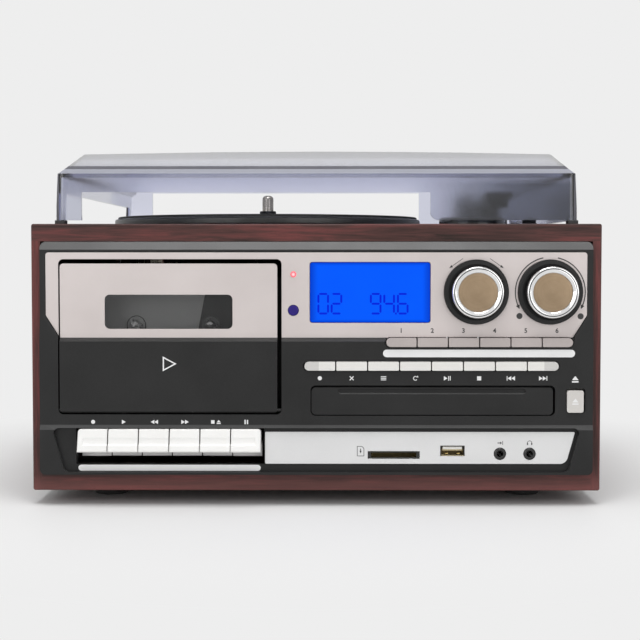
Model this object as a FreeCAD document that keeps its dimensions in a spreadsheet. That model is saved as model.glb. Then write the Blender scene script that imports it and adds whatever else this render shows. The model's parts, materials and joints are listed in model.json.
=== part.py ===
import FreeCAD, Part
import math
import os
import re

import Sketcher
from FreeCAD import Placement, Rotation, Vector

# Desk-top music centre: a vinyl-wrapped cabinet with a record deck under a
# smoked lid, a cassette recorder, a disc tray, a tuner with two dials and a
# row of sockets. Millimetres, +Z up, front towards -Y, origin under the
# middle of the box. Upper-case words are lists; every length is in SIZES.

SIZES = {
    # cabinet
    "cabinet_depth": 305,
    "side_board": 5,
    "top_board": 9.65,
    "bottom_board": 9.5,
    "board_edge_radius": 1.2,
    "foot_height": 8,
    "foot_radius": 11,
    "foot_tip_radius": 9.5,
    "foot_recess_radius": 3.5,
    "foot_recess_depth": 3,
    "foot_side_inset": 37.5,
    "foot_end_inset": 42,
    "grille_slot_width": 3,
    "grille_slot_pitch": 7,
    "grille_slot_height": 54,
    # rear cover
    "rear_thickness": 2.5,
    "rear_recess": 2,
    "rear_corner_radius": 4,
    "vent_width": 46,
    "vent_height": 3,
    "vent_pitch": 7,
    "vent_rise": 30,
    "vent_side_inset": 30,
    "gland_radius": 5,
    "gland_bore_radius": 3.2,
    "gland_length": 1.6,
    "gland_rise": 22,
    "gland_side_inset": 26,
    # fascia
    "fascia_gap": 0.25,
    "fascia_depth": 2,
    "fascia_corner_radius": 3,
    "skirt_depth": 9,
    "skirt_wall": 2,
    "upper_proud": 3,
    "lower_proud": 5.5,
    "apron_proud": 6.5,
    "recess_proud": 3.2,
    "top_bevel_height": 4.35,
    "split_bevel_height": 2,
    "apron_bevel_height": 2.7,
    "apron_lip": 1.7,
    "recess_rise": 1.45,
    "recess_height": 24.4,
    "recess_top_inset": 7.6,
    "recess_slant": 5,
    "recess_corner_radius": 3,
    # silver plates
    "plate_thickness": 0.8,
    "plate_side_inset": 3.3,
    "plate_lip": 1.55,
    "plate_corner_run": 7,
    "plate_corner_rise": 12.7,
    "plate_corner_radius": 1.5,
    "trim_gap": 0.2,
    "strip_foot": 4.4,
    "strip_head": 2.3,
    "strip_side_inset": 2,
    "strip_corner_radius": 4.5,
    "strip_edge_radius": 0.6,
    # cassette door
    "door_inset": 11.1,
    "door_width": 119.8,
    "door_rise": 34.05,
    "door_height": 82.3,
    "door_top_margin": 6.1,
    "door_gap": 0.8,
    "door_corner_radius": 2,
    "door_panel_depth": 4,
    "door_hinge_radius": 1.5,
    "door_pin_radius": 0.9,
    "door_pin_length": 2,
    "window_width": 70.5,
    "window_height": 18.9,
    "window_rise": 46.3,
    "window_corner_radius": 2.8,
    "window_thickness": 1.6,
    "window_setback": 1.2,
    "window_lap": 2,
    "tape_width": 100.4,
    "tape_height": 63.8,
    "tape_thickness": 12,
    "tape_play": 0.8,
    "holder_wall": 2,
    "holder_lip": 4,
    "holder_rise": 11.5,
    # cassette works
    "chassis_behind": 24,
    "chassis_thickness": 2.5,
    "chassis_post_radius": 3,
    "chassis_post_clear": 1.4,
    "chassis_post_low": 16,
    "chassis_post_high": 68,
    "reel_pitch": 42.5,
    "reel_rise": 47.2,
    "reel_radius": 2.6,
    "reel_fin": 1.2,
    "reel_fin_width": 0.9,
    "reel_reach": 9,
    "reel_gap": 0.3,
    "reel_tip": 1.6,
    "reel_collar_radius": 5,
    "reel_collar_length": 1.2,
    "reel_shaft_radius": 1.5,
    "reel_shaft_length": 6,
    # piano keys
    "key_inset": 20.9,
    "key_pitch": 16.9,
    "key_gap": 0.6,
    "key_top_rise": 25.4,
    "key_face_height": 12.4,
    "key_top_proud": 7.6,
    "key_tip_proud": 12.2,
    "key_cap_depth": 5,
    "key_lever_thickness": 3.4,
    "key_lever_drop": 5.4,
    "key_tab_rise": 8.6,
    "key_tab_behind": 7,
    "key_tab_thickness": 2,
    "key_edge_radius": 0.9,
    "key_corner_radius": 1.8,
    "key_groove_radius": 6.2,
    "key_groove_depth": 0.5,
    "key_groove_end": 3,
    "key_wall": 2.4,
    "key_slot_rise": 5.45,
    "key_slot_side": 1.3,
    "key_slot_drop": 0.1,
    "key_pivot_behind": 32,
    "key_pivot_rise": 17.5,
    "key_boss_radius": 4.2,
    "key_shaft_radius": 1.8,
    "key_cheek": 2.5,
    "key_cheek_reach": 8,
    # display and lamps
    "display_gap": 17.8,
    "display_width": 66.6,
    "display_rise": 8.1,
    "display_height": 33.6,
    "display_margin": 5.2,
    "display_corner_radius": 1.5,
    "display_setback": 0.7,
    "display_flange": 3,
    "display_depth": 5,
    "lamp_gap": 8.85,
    "led_rise": 34.85,
    "led_radius": 1.4,
    "led_proud": 0.5,
    "sensor_rise": 15.05,
    "sensor_radius": 2.9,
    "sensor_proud": 0.3,
    "lens_flange": 1,
    "lens_flange_depth": 2.5,
    # dials
    "tuning_gap": 7.4,
    "bezel_diameter": 35.4,
    "bezel_wall": 2.2,
    "bezel_proud": 5.2,
    "bezel_gap": 5.2,
    "bezel_margin": 5.8,
    "knob_rise": 25.15,
    "knob_radius": 14.1,
    "knob_reach": 14,
    "knob_clear": 0.6,
    "knob_lip": 1.2,
    "knob_lip_depth": 0.8,
    "knob_cap_radius": 11.3,
    "knob_cap_thickness": 1.2,
    "knob_cap_crown": 0.3,
    "knob_shaft_radius": 3,
    "knob_shaft_length": 7,
    "bushing_wall": 2,
    "bushing_length": 6,
    # buttons
    "button_height": 4.9,
    "button_gap": 0.7,
    "button_proud": 1.3,
    "button_corner_radius": 0.5,
    "button_flange": 0.8,
    "button_flange_depth": 1.5,
    "slot_gap": 0.35,
    "function_row_gap": 59.65,
    "function_pitch": 17.14,
    "function_rise": 8.1,
    "cd_row_gap": 14.7,
    "cd_pitch": 17.51,
    "cd_button_rise": 9.3,
    "eject_gap": 7.4,
    "eject_width": 9.1,
    "eject_height": 12.2,
    "eject_corner_radius": 1.2,
    "row_margin": 5.3,
    # disc drive
    "tray_gap": 18.7,
    "tray_rise": 32.95,
    "tray_front_width": 133.1,
    "tray_front_height": 15.4,
    "tray_front_radius": 2.5,
    "tray_front_depth": 4,
    "tray_front_setback": 0.6,
    "scoop_width": 103,
    "scoop_height": 2.4,
    "scoop_depth": 1,
    "scoop_drop": 1.1,
    "tray_side_inset": 3.6,
    "tray_thickness": 7,
    "tray_drop": 3.6,
    "tray_length": 146,
    "disc_radius": 61,
    "small_disc_radius": 41,
    "disc_behind": 70,
    "disc_well": 2.4,
    "small_disc_well": 1.4,
    "tray_port_width": 34,
    "tray_port_length": 62,
    "tray_fit": 0.5,
    "drive_wall": 2,
    "drive_flange": 4,
    "drive_headroom": 4,
    "drive_length": 172,
    # sockets
    "strip_gap": 1.8,
    "card_inset": 56.7,
    "card_width": 28.7,
    "card_height": 4.2,
    "card_rise": 4.9,
    "card_mouth_width": 25,
    "card_mouth_height": 2.6,
    "card_depth": 28,
    "usb_gap": 11.3,
    "usb_width": 13.5,
    "usb_height": 5.8,
    "usb_rise": 7.2,
    "usb_mouth_width": 12.3,
    "usb_mouth_height": 4.7,
    "usb_tongue": 1.9,
    "usb_tongue_gap": 0.5,
    "usb_tongue_setback": 1.5,
    "usb_depth": 18,
    "socket_wall": 1.2,
    "socket_flange": 1.5,
    "socket_flange_depth": 2,
    "jack_gap": 19.45,
    "jack_pitch": 16.3,
    "jack_margin": 34.3,
    "jack_rise": 5.6,
    "jack_radius": 3.25,
    "jack_bore_radius": 1.8,
    "jack_depth": 15,
    "jack_proud": 0.4,
    # speakers and electronics
    "speaker_rear_inset": 83,
    "speaker_rise": 70,
    "speaker_radius": 33,
    "speaker_flange": 2.5,
    "speaker_cone_depth": 12,
    "speaker_neck_radius": 13,
    "speaker_magnet_radius": 20,
    "speaker_magnet_depth": 9,
    "speaker_dome_radius": 10,
    "speaker_dome_rise": 4,
    "board_width": 150,
    "board_length": 120,
    "board_thickness": 1.6,
    "board_behind": 120,
    "board_side_inset": 34,
    "standoff_height": 6,
    "standoff_radius": 3,
    "standoff_inset": 6,
    "transformer_width": 52,
    "transformer_length": 44,
    "transformer_height": 40,
    "heatsink_length": 60,
    "heatsink_thickness": 3,
    "heatsink_height": 20,
    "capacitor_radius": 6.5,
    "capacitor_height": 22,
    # record deck
    "deck_side_inset": 23,
    "deck_front_inset": 16,
    "deck_rear_inset": 20,
    "deck_ledge": 6,
    "deck_thickness": 3,
    "deck_gap": 0.3,
    "deck_corner_radius": 6,
    "deck_wall": 2,
    "platter_offset": 32,
    "platter_behind": 127,
    "platter_radius": 97,
    "platter_thickness": 2.8,
    "platter_lift": 2.2,
    "platter_rim_drop": 1.4,
    "platter_rim_wall": 3,
    "platter_edge": 0.8,
    "mat_radius": 95,
    "mat_thickness": 1.4,
    "mat_label_radius": 46,
    "mat_label_depth": 0.5,
    "well_radius": 92,
    "well_depth": 8,
    "drum_radius": 58,
    "drum_wall": 3,
    "drum_drop": 8.2,
    "hub_radius": 8,
    "spindle_radius": 3.55,
    "spindle_shaft_radius": 4.2,
    "spindle_step": 0.3,
    "spindle_rise": 14.3,
    "spindle_nose": 2.5,
    "spindle_depth": 14,
    "bearing_wall": 3,
    "bearing_floor": 2,
    "running_fit": 0.05,
    "motor_reach": 72,
    "motor_radius": 16,
    "motor_height": 22,
    "motor_boss_radius": 5,
    "motor_shaft_radius": 1,
    "pulley_radius": 7,
    "pulley_flange": 1,
    "pulley_flange_height": 0.8,
    "pulley_floor_gap": 1.2,
    "belt_width": 3.4,
    "belt_thickness": 0.8,
    "belt_clearance": 0.3,
    # tone arm
    "arm_offset": 108,
    "arm_rear_inset": 65,
    "arm_tip_behind": 60,
    "arm_base_radius": 14,
    "arm_base_height": 7,
    "arm_shaft_radius": 4,
    "arm_shaft_depth": 12,
    "yoke_radius": 12,
    "yoke_gap": 0.3,
    "yoke_thickness": 3,
    "yoke_ear": 3,
    "yoke_span": 14,
    "yoke_ear_length": 10,
    "arm_height": 18,
    "arm_tube_radius": 3,
    "arm_block_length": 14,
    "arm_block_height": 9,
    "arm_pin_radius": 1.5,
    "arm_tail": 32,
    "weight_radius": 9,
    "weight_length": 14,
    "shell_width": 15,
    "shell_length": 30,
    "shell_thickness": 4,
    "shell_overlap": 3,
    "cartridge_width": 11,
    "cartridge_length": 18,
    "cartridge_height": 5,
    "stylus_drop": 2.9,
    "stylus_radius": 1.1,
    "stylus_tip_radius": 0.3,
    "rest_behind": 110,
    "rest_width": 12,
    "rest_depth": 5,
    "rest_gap": 0.3,
    # speed switch
    "switch_offset": 126,
    "switch_behind": 62,
    "switch_width": 8,
    "switch_length": 10,
    "switch_height": 4,
    "switch_travel": 7,
    "switch_stem": 3,
    "switch_fit": 0.4,
    "switch_base": 1.4,
    # lid
    "lid_side_inset": 11.4,
    "lid_front_inset": 10,
    "lid_rear_inset": 10,
    "lid_draft": 1.6,
    "lid_wall": 2.2,
    "lid_lift": 2.2,
    "lid_wall_height": 26,
    "lid_ledge": 2.6,
    "lid_riser_height": 2.6,
    "lid_riser_run": 0.8,
    "lid_height": 42.8,
    "lid_slope_length": 62,
    "lid_hump_draft": 2.4,
    "lid_crown": 2.4,
    "lid_rear_chamfer": 5,
    "lid_corner_radius": 5,
    "front_cut_left": 15,
    "front_cut_right": 82.5,
    "side_cut_front": 18,
    "side_cut_rear": 12,
    "rear_cut_left": 19.5,
    "rear_cut_right": 71,
    "cut_height": 15.6,
    "rear_cut_height": 27,
    "cut_corner_radius": 5,
    "cut_reach": 8,
    "pad_width": 5.7,
    "pad_length": 8,
    "hinge_behind": 4.6,
    "hinge_rise": 7,
    "hinge_inset": 10,
    "hinge_knuckle_width": 7,
    "hinge_knuckle_radius": 3.6,
    "hinge_ear": 2.5,
    "hinge_ear_radius": 3.9,
    "hinge_gap": 0.3,
    "hinge_pin_radius": 1.6,
    "hinge_base_height": 1.6,
    # shared
    "fit": 0.05,
    "overrun": 20,
}

SHARES = {
    "slot_round_share": 0.49,
    "skirt_round_share": 0.5,
    "dome_share": 0.8,
    "rim_share": 0.9,
    "tongue_share": 0.45,
    "bevel_share": 0.586,
    "nose_share": 0.35,
    "holder_share": 0.6,
    "groove_share": 0.54,
}

COUNTS = {
    "grille_slots": 9,
    "vents": 6,
    "function_buttons": 6,
    "cd_buttons": 8,
    "keys": 6,
    "reel_fins": 3,
}

# Places worked out from the sizes: rows are summed from the left-hand edge,
# and the widest row and the tallest column set the cabinet.
PLACES = {
    "upper_row": "door_inset + door_width + display_gap + display_width + tuning_gap"
                 " + 2 * bezel_diameter + bezel_gap + bezel_margin",
    "tray_row": "door_inset + door_width + tray_gap + tray_front_width + eject_gap"
                " + eject_width + row_margin",
    "function_row": "door_inset + door_width + function_row_gap"
                    " + function_buttons * function_pitch + row_margin",
    "cd_row": "door_inset + door_width + cd_row_gap + cd_buttons * cd_pitch + row_margin",
    "socket_row": "key_inset + keys * key_pitch + strip_gap + card_inset + card_width"
                  " + usb_gap + usb_width + jack_gap + jack_pitch + jack_margin",
    "fascia_width": "max(upper_row; tray_row; function_row; cd_row; socket_row)",
    "cabinet_width": "fascia_width + 2 * (fascia_gap + side_board)",
    "side": "cabinet_width / 2",
    "left": "-fascia_width / 2",
    "right": "fascia_width / 2",
    "front": "(knob_reach - cabinet_depth) / 2",
    "back": "(knob_reach + cabinet_depth) / 2",
    "fascia_back": "front + fascia_depth",
    "fascia_bottom": "foot_height + bottom_board + fascia_gap",
    "recess_bottom": "fascia_bottom + recess_rise",
    "recess_top": "recess_bottom + recess_height",
    "apron_top": "recess_top + apron_lip",
    "door_left": "left + door_inset",
    "door_right": "door_left + door_width",
    "door_middle": "(door_left + door_right) / 2",
    "door_bottom": "fascia_bottom + door_rise",
    "door_top": "door_bottom + door_height",
    "tray_left": "door_right + tray_gap",
    "tray_right": "tray_left + tray_front_width",
    "tray_bottom": "fascia_bottom + tray_rise",
    "tray_top": "tray_bottom + tray_front_height",
    "eject_left": "tray_right + eject_gap",
    "cd_row_left": "door_right + cd_row_gap",
    "cd_row_bottom": "tray_top + cd_button_rise",
    "function_left": "door_right + function_row_gap",
    "function_bottom": "cd_row_bottom + button_height + function_rise",
    "split": "function_bottom + button_height",
    "display_left": "door_right + display_gap",
    "display_right": "display_left + display_width",
    "display_bottom": "split + display_rise",
    "display_top": "display_bottom + display_height",
    "lamp_x": "door_right + lamp_gap",
    "tuning_x": "display_right + tuning_gap + bezel_diameter / 2",
    "volume_x": "tuning_x + bezel_diameter + bezel_gap",
    "dial_z": "split + knob_rise",
    "plate_left": "left + plate_side_inset",
    "plate_right": "right - plate_side_inset",
    "plate_top": "max(door_top + door_top_margin; display_top + display_margin)",
    "fascia_top": "plate_top + plate_lip + top_bevel_height",
    "deck": "fascia_top + fascia_gap + top_board",
    "plate_face": "front - upper_proud",
    "plate_back": "plate_face + plate_thickness",
    "strip_back": "front - recess_proud",
    "strip_face": "strip_back - plate_thickness",
    "key_left": "left + key_inset",
    "key_right": "key_left + keys * key_pitch",
    "strip_left": "key_right + strip_gap",
    "strip_right": "right - recess_top_inset - strip_side_inset",
    "strip_bottom": "recess_bottom + strip_foot",
    "strip_top": "recess_top - strip_head",
    "card_x": "strip_left + card_inset + card_width / 2",
    "card_z": "strip_bottom + card_rise",
    "usb_x": "card_x + card_width / 2 + usb_gap + usb_width / 2",
    "usb_z": "strip_bottom + usb_rise",
    "jack_x": "usb_x + usb_width / 2 + jack_gap",
    "jack_z": "strip_bottom + jack_rise",
    "hinge_y": "front - lower_proud + door_hinge_radius",
    "hinge_z": "door_bottom + door_hinge_radius",
    "reel_z": "door_bottom + reel_rise",
    "chassis_y": "front + chassis_behind",
    "pivot_y": "front + key_pivot_behind",
    "pivot_z": "fascia_bottom + key_pivot_rise",
    "platter_x": "-platter_offset",
    "platter_y": "front + platter_behind",
    "platter_under": "deck + platter_lift",
    "platter_top": "platter_under + platter_thickness",
    "well_floor": "deck - well_depth",
    "well_under": "well_floor - deck_wall",
    "spindle_foot": "well_under - spindle_depth",
    "motor_x": "platter_x - motor_reach",
    "pulley_bottom": "well_floor + pulley_floor_gap",
    "belt_bottom": "pulley_bottom + pulley_flange_height + belt_clearance",
    "pulley_top": "belt_bottom + belt_width + belt_clearance + pulley_flange_height",
    "arm_x": "arm_offset",
    "arm_y": "back - arm_rear_inset",
    "arm_base_top": "deck + arm_base_height",
    "arm_z": "deck + arm_height",
    "switch_y": "front + switch_behind",
    "lid_half": "side - lid_side_inset",
    "lid_front": "front + lid_front_inset",
    "lid_back": "back - lid_rear_inset",
    "lid_bottom": "deck + lid_lift",
    "lid_shoulder": "lid_bottom + lid_wall_height",
    "lid_brow": "lid_shoulder + lid_riser_height",
    "lid_top": "lid_bottom + lid_height",
    "lid_hinge_y": "lid_back + hinge_behind",
    "lid_hinge_z": "deck + hinge_rise",
    "lid_hinge_x": "lid_half - hinge_inset",
}

TOUCH = 1e-4
QUARTER_TURN = 90
FULL_TURN = 360
MATH_WORDS = {"max", "min", "sqrt", "cos", "sin"}

DOC = FreeCAD.newDocument("MusicCentre")
NODES = []


def sized(text):
    """Turn plain size words into references to the two sheets."""
    def refer(match):
        word = match.group()
        if word in MATH_WORDS:
            return word
        return ("Places." if word in PLACES else "Sizes.") + word
    return re.sub(r"[a-z_]+", refer, str(text))


def fill_sheets():
    sizes = DOC.addObject("Spreadsheet::Sheet", "Sizes")
    for row, (alias, number) in enumerate({**SIZES, **SHARES, **COUNTS}.items(), 1):
        sizes.set(f"A{row}", alias)
        sizes.set(f"B{row}", str(number))
        sizes.setAlias(f"B{row}", alias)
    places = DOC.addObject("Spreadsheet::Sheet", "Places")
    for row, alias in enumerate(PLACES, 1):
        places.set(f"A{row}", alias)
        places.setAlias(f"B{row}", alias)
    for row, text in enumerate(PLACES.values(), 1):
        places.set(f"B{row}", "=" + sized(text))
    DOC.recompute()
    return sizes


SHEET = fill_sheets()


def value(text):
    return float(SHEET.evalExpression(sized(text)))


def bind(thing, **texts):
    for name, text in texts.items():
        thing.setExpression(name.replace("__", "."), sized(text))


def node(thing, label):
    """Name a finished sub-part; the label is also its file name."""
    thing.Label = label
    NODES.append(thing)
    return thing


def place(thing, x="0", y="0", z="0", turn=None):
    thing.Placement = Placement(Vector(), turn or Rotation())
    bind(thing, Placement__Base__x=x, Placement__Base__y=y, Placement__Base__z=z)
    return thing


# Loops that a sketch can hold

def polygon(*points):
    return ("polygon", points)


def circle(x, y, radius):
    return ("circle", (x, y, radius))


def hull(*circles):
    """Closed outline round circles given anticlockwise as x, y, radius."""
    return ("hull", circles)


def rect(x_low, x_high, y_low, y_high):
    return polygon((x_low, y_low), (x_high, y_low), (x_high, y_high), (x_low, y_high))


def rounded(x_low, x_high, y_low, y_high, radius):
    a, b = f"({x_low}) + {radius}", f"({x_high}) - {radius}"
    c, d = f"({y_low}) + {radius}", f"({y_high}) - {radius}"
    return hull((a, c, radius), (b, c, radius), (b, d, radius), (a, d, radius))


def bowed(edge, rise, *points):
    """Polygon with one edge bowed outwards by its rise."""
    return ("bowed", (edge, rise, points))


def dimension(sketch, kind, geometry, vertex, text):
    """Tie one coordinate of a sketch point to the sheet."""
    index = sketch.addConstraint(Sketcher.Constraint(kind, -1, 1, geometry, vertex, value(text)))
    sketch.setExpression(f"Constraints[{index}]", sized(text))


def radius_dimension(sketch, geometry, text):
    index = sketch.addConstraint(Sketcher.Constraint("Radius", geometry, value(text)))
    sketch.setExpression(f"Constraints[{index}]", sized(text))


def draw_polygon(sketch, points):
    spots = [Vector(value(x), value(y), 0) for x, y in points]
    ends = spots[1:] + spots[:1]
    lines = sketch.addGeometry([Part.LineSegment(a, b) for a, b in zip(spots, ends)], False)
    followers = lines[1:] + lines[:1]
    sketch.addConstraint([Sketcher.Constraint("Coincident", a, 2, b, 1)
                          for a, b in zip(lines, followers)])
    for line, (x, y) in zip(lines, points):
        dimension(sketch, "DistanceX", line, 1, x)
        dimension(sketch, "DistanceY", line, 1, y)


def draw_bowed(sketch, shape):
    edge, rise, points = shape
    spots = [Vector(value(x), value(y), 0) for x, y in points]
    lines = []
    for index, (a, b) in enumerate(zip(spots, spots[1:] + spots[:1])):
        if index == edge:
            run = b - a
            outward = Vector(run.y, -run.x, 0).normalize()
            lines.append(Part.Arc(a, (a + b) / 2 + outward * value(rise), b))
        else:
            lines.append(Part.LineSegment(a, b))
    lines = sketch.addGeometry(lines, False)
    sketch.addConstraint([Sketcher.Constraint("Coincident", a, 2, b, 1)
                          for a, b in zip(lines, lines[1:] + lines[:1])])
    for line, (x, y) in zip(lines, points):
        dimension(sketch, "DistanceX", line, 1, x)
        dimension(sketch, "DistanceY", line, 1, y)
    (start, _), (stop, _) = points[edge], points[edge + 1]
    half = f"(({start}) - ({stop})) / 2"
    radius_dimension(sketch, lines[edge], f"(({half}) * ({half}) + {rise} * {rise}) / (2 * {rise})")


def draw_circle(sketch, spot):
    x, y, radius = spot
    centre = Vector(value(x), value(y), 0)
    ring = sketch.addGeometry(Part.Circle(centre, Vector(0, 0, 1), value(radius)), False)
    dimension(sketch, "DistanceX", ring, 3, x)
    dimension(sketch, "DistanceY", ring, 3, y)
    radius_dimension(sketch, ring, radius)


def draw_hull(sketch, circles):
    spots = [(Vector(value(x), value(y), 0), value(r)) for x, y, r in circles]
    turns = []
    for (here, near), (there, far) in zip(spots, spots[1:] + spots[:1]):
        run = there - here
        turns.append(math.atan2(run.y, run.x) - math.acos((near - far) / run.Length))
    arcs = []
    for index, (centre, radius) in enumerate(spots):
        start, stop = turns[index - 1], turns[index]
        stop += 2 * math.pi if stop < start else 0
        arcs.append(Part.ArcOfCircle(Part.Circle(centre, Vector(0, 0, 1), radius), start, stop))
    nexts = arcs[1:] + arcs[:1]
    lines = [Part.LineSegment(a.EndPoint, b.StartPoint) for a, b in zip(arcs, nexts)]
    arc_ids = sketch.addGeometry(arcs, False)
    line_ids = sketch.addGeometry(lines, False)
    for arc, line, following in zip(arc_ids, line_ids, arc_ids[1:] + arc_ids[:1]):
        sketch.addConstraint(Sketcher.Constraint("Tangent", arc, 2, line, 1))
        sketch.addConstraint(Sketcher.Constraint("Tangent", line, 2, following, 1))
    for arc, (x, y, radius) in zip(arc_ids, circles):
        dimension(sketch, "DistanceX", arc, 3, x)
        dimension(sketch, "DistanceY", arc, 3, y)
        radius_dimension(sketch, arc, radius)


DRAW = {"polygon": draw_polygon, "bowed": draw_bowed, "circle": draw_circle, "hull": draw_hull}


def new_body(name):
    return DOC.addObject("PartDesign::Body", name)


def sketch_on(body, plane, offset, loops):
    """Sketch on an origin plane: XY looks down, XZ looks back, YZ looks left."""
    sketch = body.newObject("Sketcher::SketchObject", "Sketch")
    planes = {feature.Role: feature for feature in body.Origin.OriginFeatures}
    sketch.AttachmentSupport = [(planes[plane + "_Plane"], "")]
    sketch.MapMode = "FlatFace"
    bind(sketch, AttachmentOffset__Base__z=offset)
    for kind, shape in loops:
        DRAW[kind](sketch, shape)
    return sketch


def pad(body, plane, loops, low, high):
    """Add material between two places along the plane's axis."""
    at = f"-({high})" if plane == "XZ" else low
    feature = body.newObject("PartDesign::Pad", "Pad")
    feature.Profile = sketch_on(body, plane, at, loops)
    bind(feature, Length=f"({high}) - ({low})")
    return feature


def pocket(body, plane, loops, low, high):
    """Take material away between two places along the plane's axis."""
    at = f"-({low})" if plane == "XZ" else high
    feature = body.newObject("PartDesign::Pocket", "Pocket")
    feature.Profile = sketch_on(body, plane, at, loops)
    bind(feature, Length=f"({high}) - ({low})")
    return feature


def line_pattern(body, feature, axis, pitch, count):
    """Repeat a feature along its sketch's own axis."""
    pattern = body.newObject("PartDesign::LinearPattern", "LinearPattern")
    pattern.Originals = [feature]
    pattern.Direction = (feature.Profile[0], [axis])
    bind(pattern, Length=f"{pitch} * ({count} - 1)", Occurrences=count)
    body.Tip = pattern
    return pattern


def round_edges(body, radius, pick):
    """Fillet the edges whose ends all pass the pick."""
    DOC.recompute()
    base = body.Tip
    names = [f"Edge{number}" for number, edge in enumerate(base.Shape.Edges, 1)
             if all(pick(vertex.Point) for vertex in edge.Vertexes) and len(edge.Vertexes) > 1]
    feature = body.newObject("PartDesign::Fillet", "Fillet")
    feature.Base = (base, names)
    bind(feature, Radius=radius)
    return feature


def same(number, text):
    return abs(number - value(text)) < TOUCH


def turned(name, *points):
    """Body of revolution; points are radius and height up its own axis."""
    body = new_body(name)
    feature = body.newObject("PartDesign::Revolution", "Revolution")
    sketch = sketch_on(body, "XZ", "0", [polygon(*points)])
    feature.Profile = sketch
    feature.ReferenceAxis = (sketch, ["V_Axis"])
    feature.Angle = FULL_TURN
    return body


# Turns that lay a body's own +Z along an axis of the part
UPRIGHT = Rotation()
TO_FRONT = Rotation(Vector(1, 0, 0), QUARTER_TURN)
TO_BACK = Rotation(Vector(1, 0, 0), -QUARTER_TURN)
TO_RIGHT = Rotation(Vector(0, 1, 0), QUARTER_TURN)
TO_LEFT = Rotation(Vector(0, 1, 0), -QUARTER_TURN)


def box(name, x, y, z):
    solid = DOC.addObject("Part::Box", name)
    bind(solid, Length=f"({x[1]}) - ({x[0]})", Width=f"({y[1]}) - ({y[0]})",
         Height=f"({z[1]}) - ({z[0]})")
    return place(solid, x[0], y[0], z[0])


def rod(name, axis, x, y, z, radius):
    """Cylinder along one axis; that axis is given as a pair of places."""
    turn = {"x": TO_RIGHT, "y": TO_BACK, "z": UPRIGHT}[axis]
    low, high = {"x": x, "y": y, "z": z}[axis]
    solid = DOC.addObject("Part::Cylinder", name)
    bind(solid, Radius=radius, Height=f"({high}) - ({low})")
    start = {"x": x, "y": y, "z": z, axis: low}
    return place(solid, start["x"], start["y"], start["z"], turn)


def fused(name, *solids):
    joined = DOC.addObject("Part::MultiFuse", name)
    joined.Shapes = list(solids)
    joined.Refine = True
    return joined


def cut(name, base, *tools):
    trimmed = DOC.addObject("Part::Cut", name)
    trimmed.Base = base
    trimmed.Tool = tools[0] if len(tools) == 1 else fused(name + "_tools", *tools)
    trimmed.Refine = True
    return trimmed


def group(label, *solids):
    """Identical pieces that share one node."""
    together = DOC.addObject("Part::Compound", label)
    together.Links = list(solids)
    return node(together, label)


# Cabinet, feet and rear cover

def make_cabinet():
    body = new_body("cabinet")
    inner_side = "side - side_board"
    inner_bottom = "foot_height + bottom_board"
    outer = rect("-side", "side", "foot_height", "deck")
    inner = rect(f"-({inner_side})", inner_side, inner_bottom, "deck - top_board")
    pad(body, "XZ", [outer, inner], "front", "back")
    round_edges(body, "board_edge_radius",
                lambda p: same(abs(p.x), "side") and (same(p.z, "deck") or same(p.z, "foot_height")))
    half, ledge_half = "side - deck_side_inset", "side - deck_side_inset - deck_ledge"
    near, far = "front + deck_front_inset", "back - deck_rear_inset"
    rebate = rounded(f"-({half})", half, near, far, "deck_corner_radius")
    pocket(body, "XY", [rebate], "deck - deck_thickness", "deck")
    opening = rounded(f"-({ledge_half})", ledge_half, f"{near} + deck_ledge", f"{far} - deck_ledge",
                      "deck_corner_radius")
    pocket(body, "XY", [opening], "deck - top_board", "deck")
    first = "back - speaker_rear_inset - grille_slot_pitch * (grille_slots - 1) / 2"
    slot = rounded(f"{first} - grille_slot_width / 2", f"{first} + grille_slot_width / 2",
                   "foot_height + speaker_rise - grille_slot_height / 2",
                   "foot_height + speaker_rise + grille_slot_height / 2",
                   "grille_slot_width * slot_round_share")
    through = pocket(body, "YZ", [slot], "-side - overrun", "side + overrun")
    line_pattern(body, through, "H_Axis", "grille_slot_pitch", "grille_slots")
    return node(body, "cabinet")


def make_rear_cover():
    body = new_body("rear_cover")
    half = "side - side_board - fascia_gap"
    low, high = "foot_height + bottom_board + fascia_gap", "deck - top_board - fascia_gap"
    outside = "back - rear_recess"
    pad(body, "XZ", [rounded(f"-({half})", half, low, high, "rear_corner_radius")],
        f"{outside} - rear_thickness", outside)
    vent_left = "-fascia_width / 2 + vent_side_inset"
    vent_low = "foot_height + vent_rise"
    vents = [rounded(start, f"{start} + vent_width", vent_low, f"{vent_low} + vent_height",
                     "vent_height * slot_round_share")
             for start in (vent_left, f"-({vent_left}) - vent_width")]
    through = pocket(body, "XZ", vents, f"{outside} - overrun", f"{outside} + overrun")
    line_pattern(body, through, "V_Axis", "vent_pitch", "vents")
    gland_x, gland_z = "-fascia_width / 2 + gland_side_inset", "foot_height + gland_rise"
    pad(body, "XZ", [circle(gland_x, gland_z, "gland_radius")], outside, f"{outside} + gland_length")
    pocket(body, "XZ", [circle(gland_x, gland_z, "gland_bore_radius")],
           f"{outside} - overrun", f"{outside} + overrun")
    return node(body, "rear_cover")


def make_feet():
    feet = []
    for x in ("-side + foot_side_inset", "side - foot_side_inset"):
        for y in ("front + foot_end_inset", "back - foot_end_inset"):
            foot = turned("Foot", ("foot_recess_radius", "0"), ("foot_tip_radius", "0"),
                          ("foot_radius", "foot_height"), ("0", "foot_height"),
                          ("0", "foot_recess_depth"), ("foot_recess_radius", "foot_recess_depth"))
            feet.append(place(foot, x, y))
    return group("feet", *feet)


# Front fascia and what is fixed to it

DOOR_OPENING = rounded("door_left - door_gap", "door_right + door_gap", "door_bottom - door_gap",
                       "door_top + door_gap", "door_corner_radius + door_gap")
DISPLAY_OPENING = rounded("display_left", "display_right", "display_bottom", "display_top",
                          "display_corner_radius")
DIALS = {"tuning": "tuning_x", "volume": "volume_x"}


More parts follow.
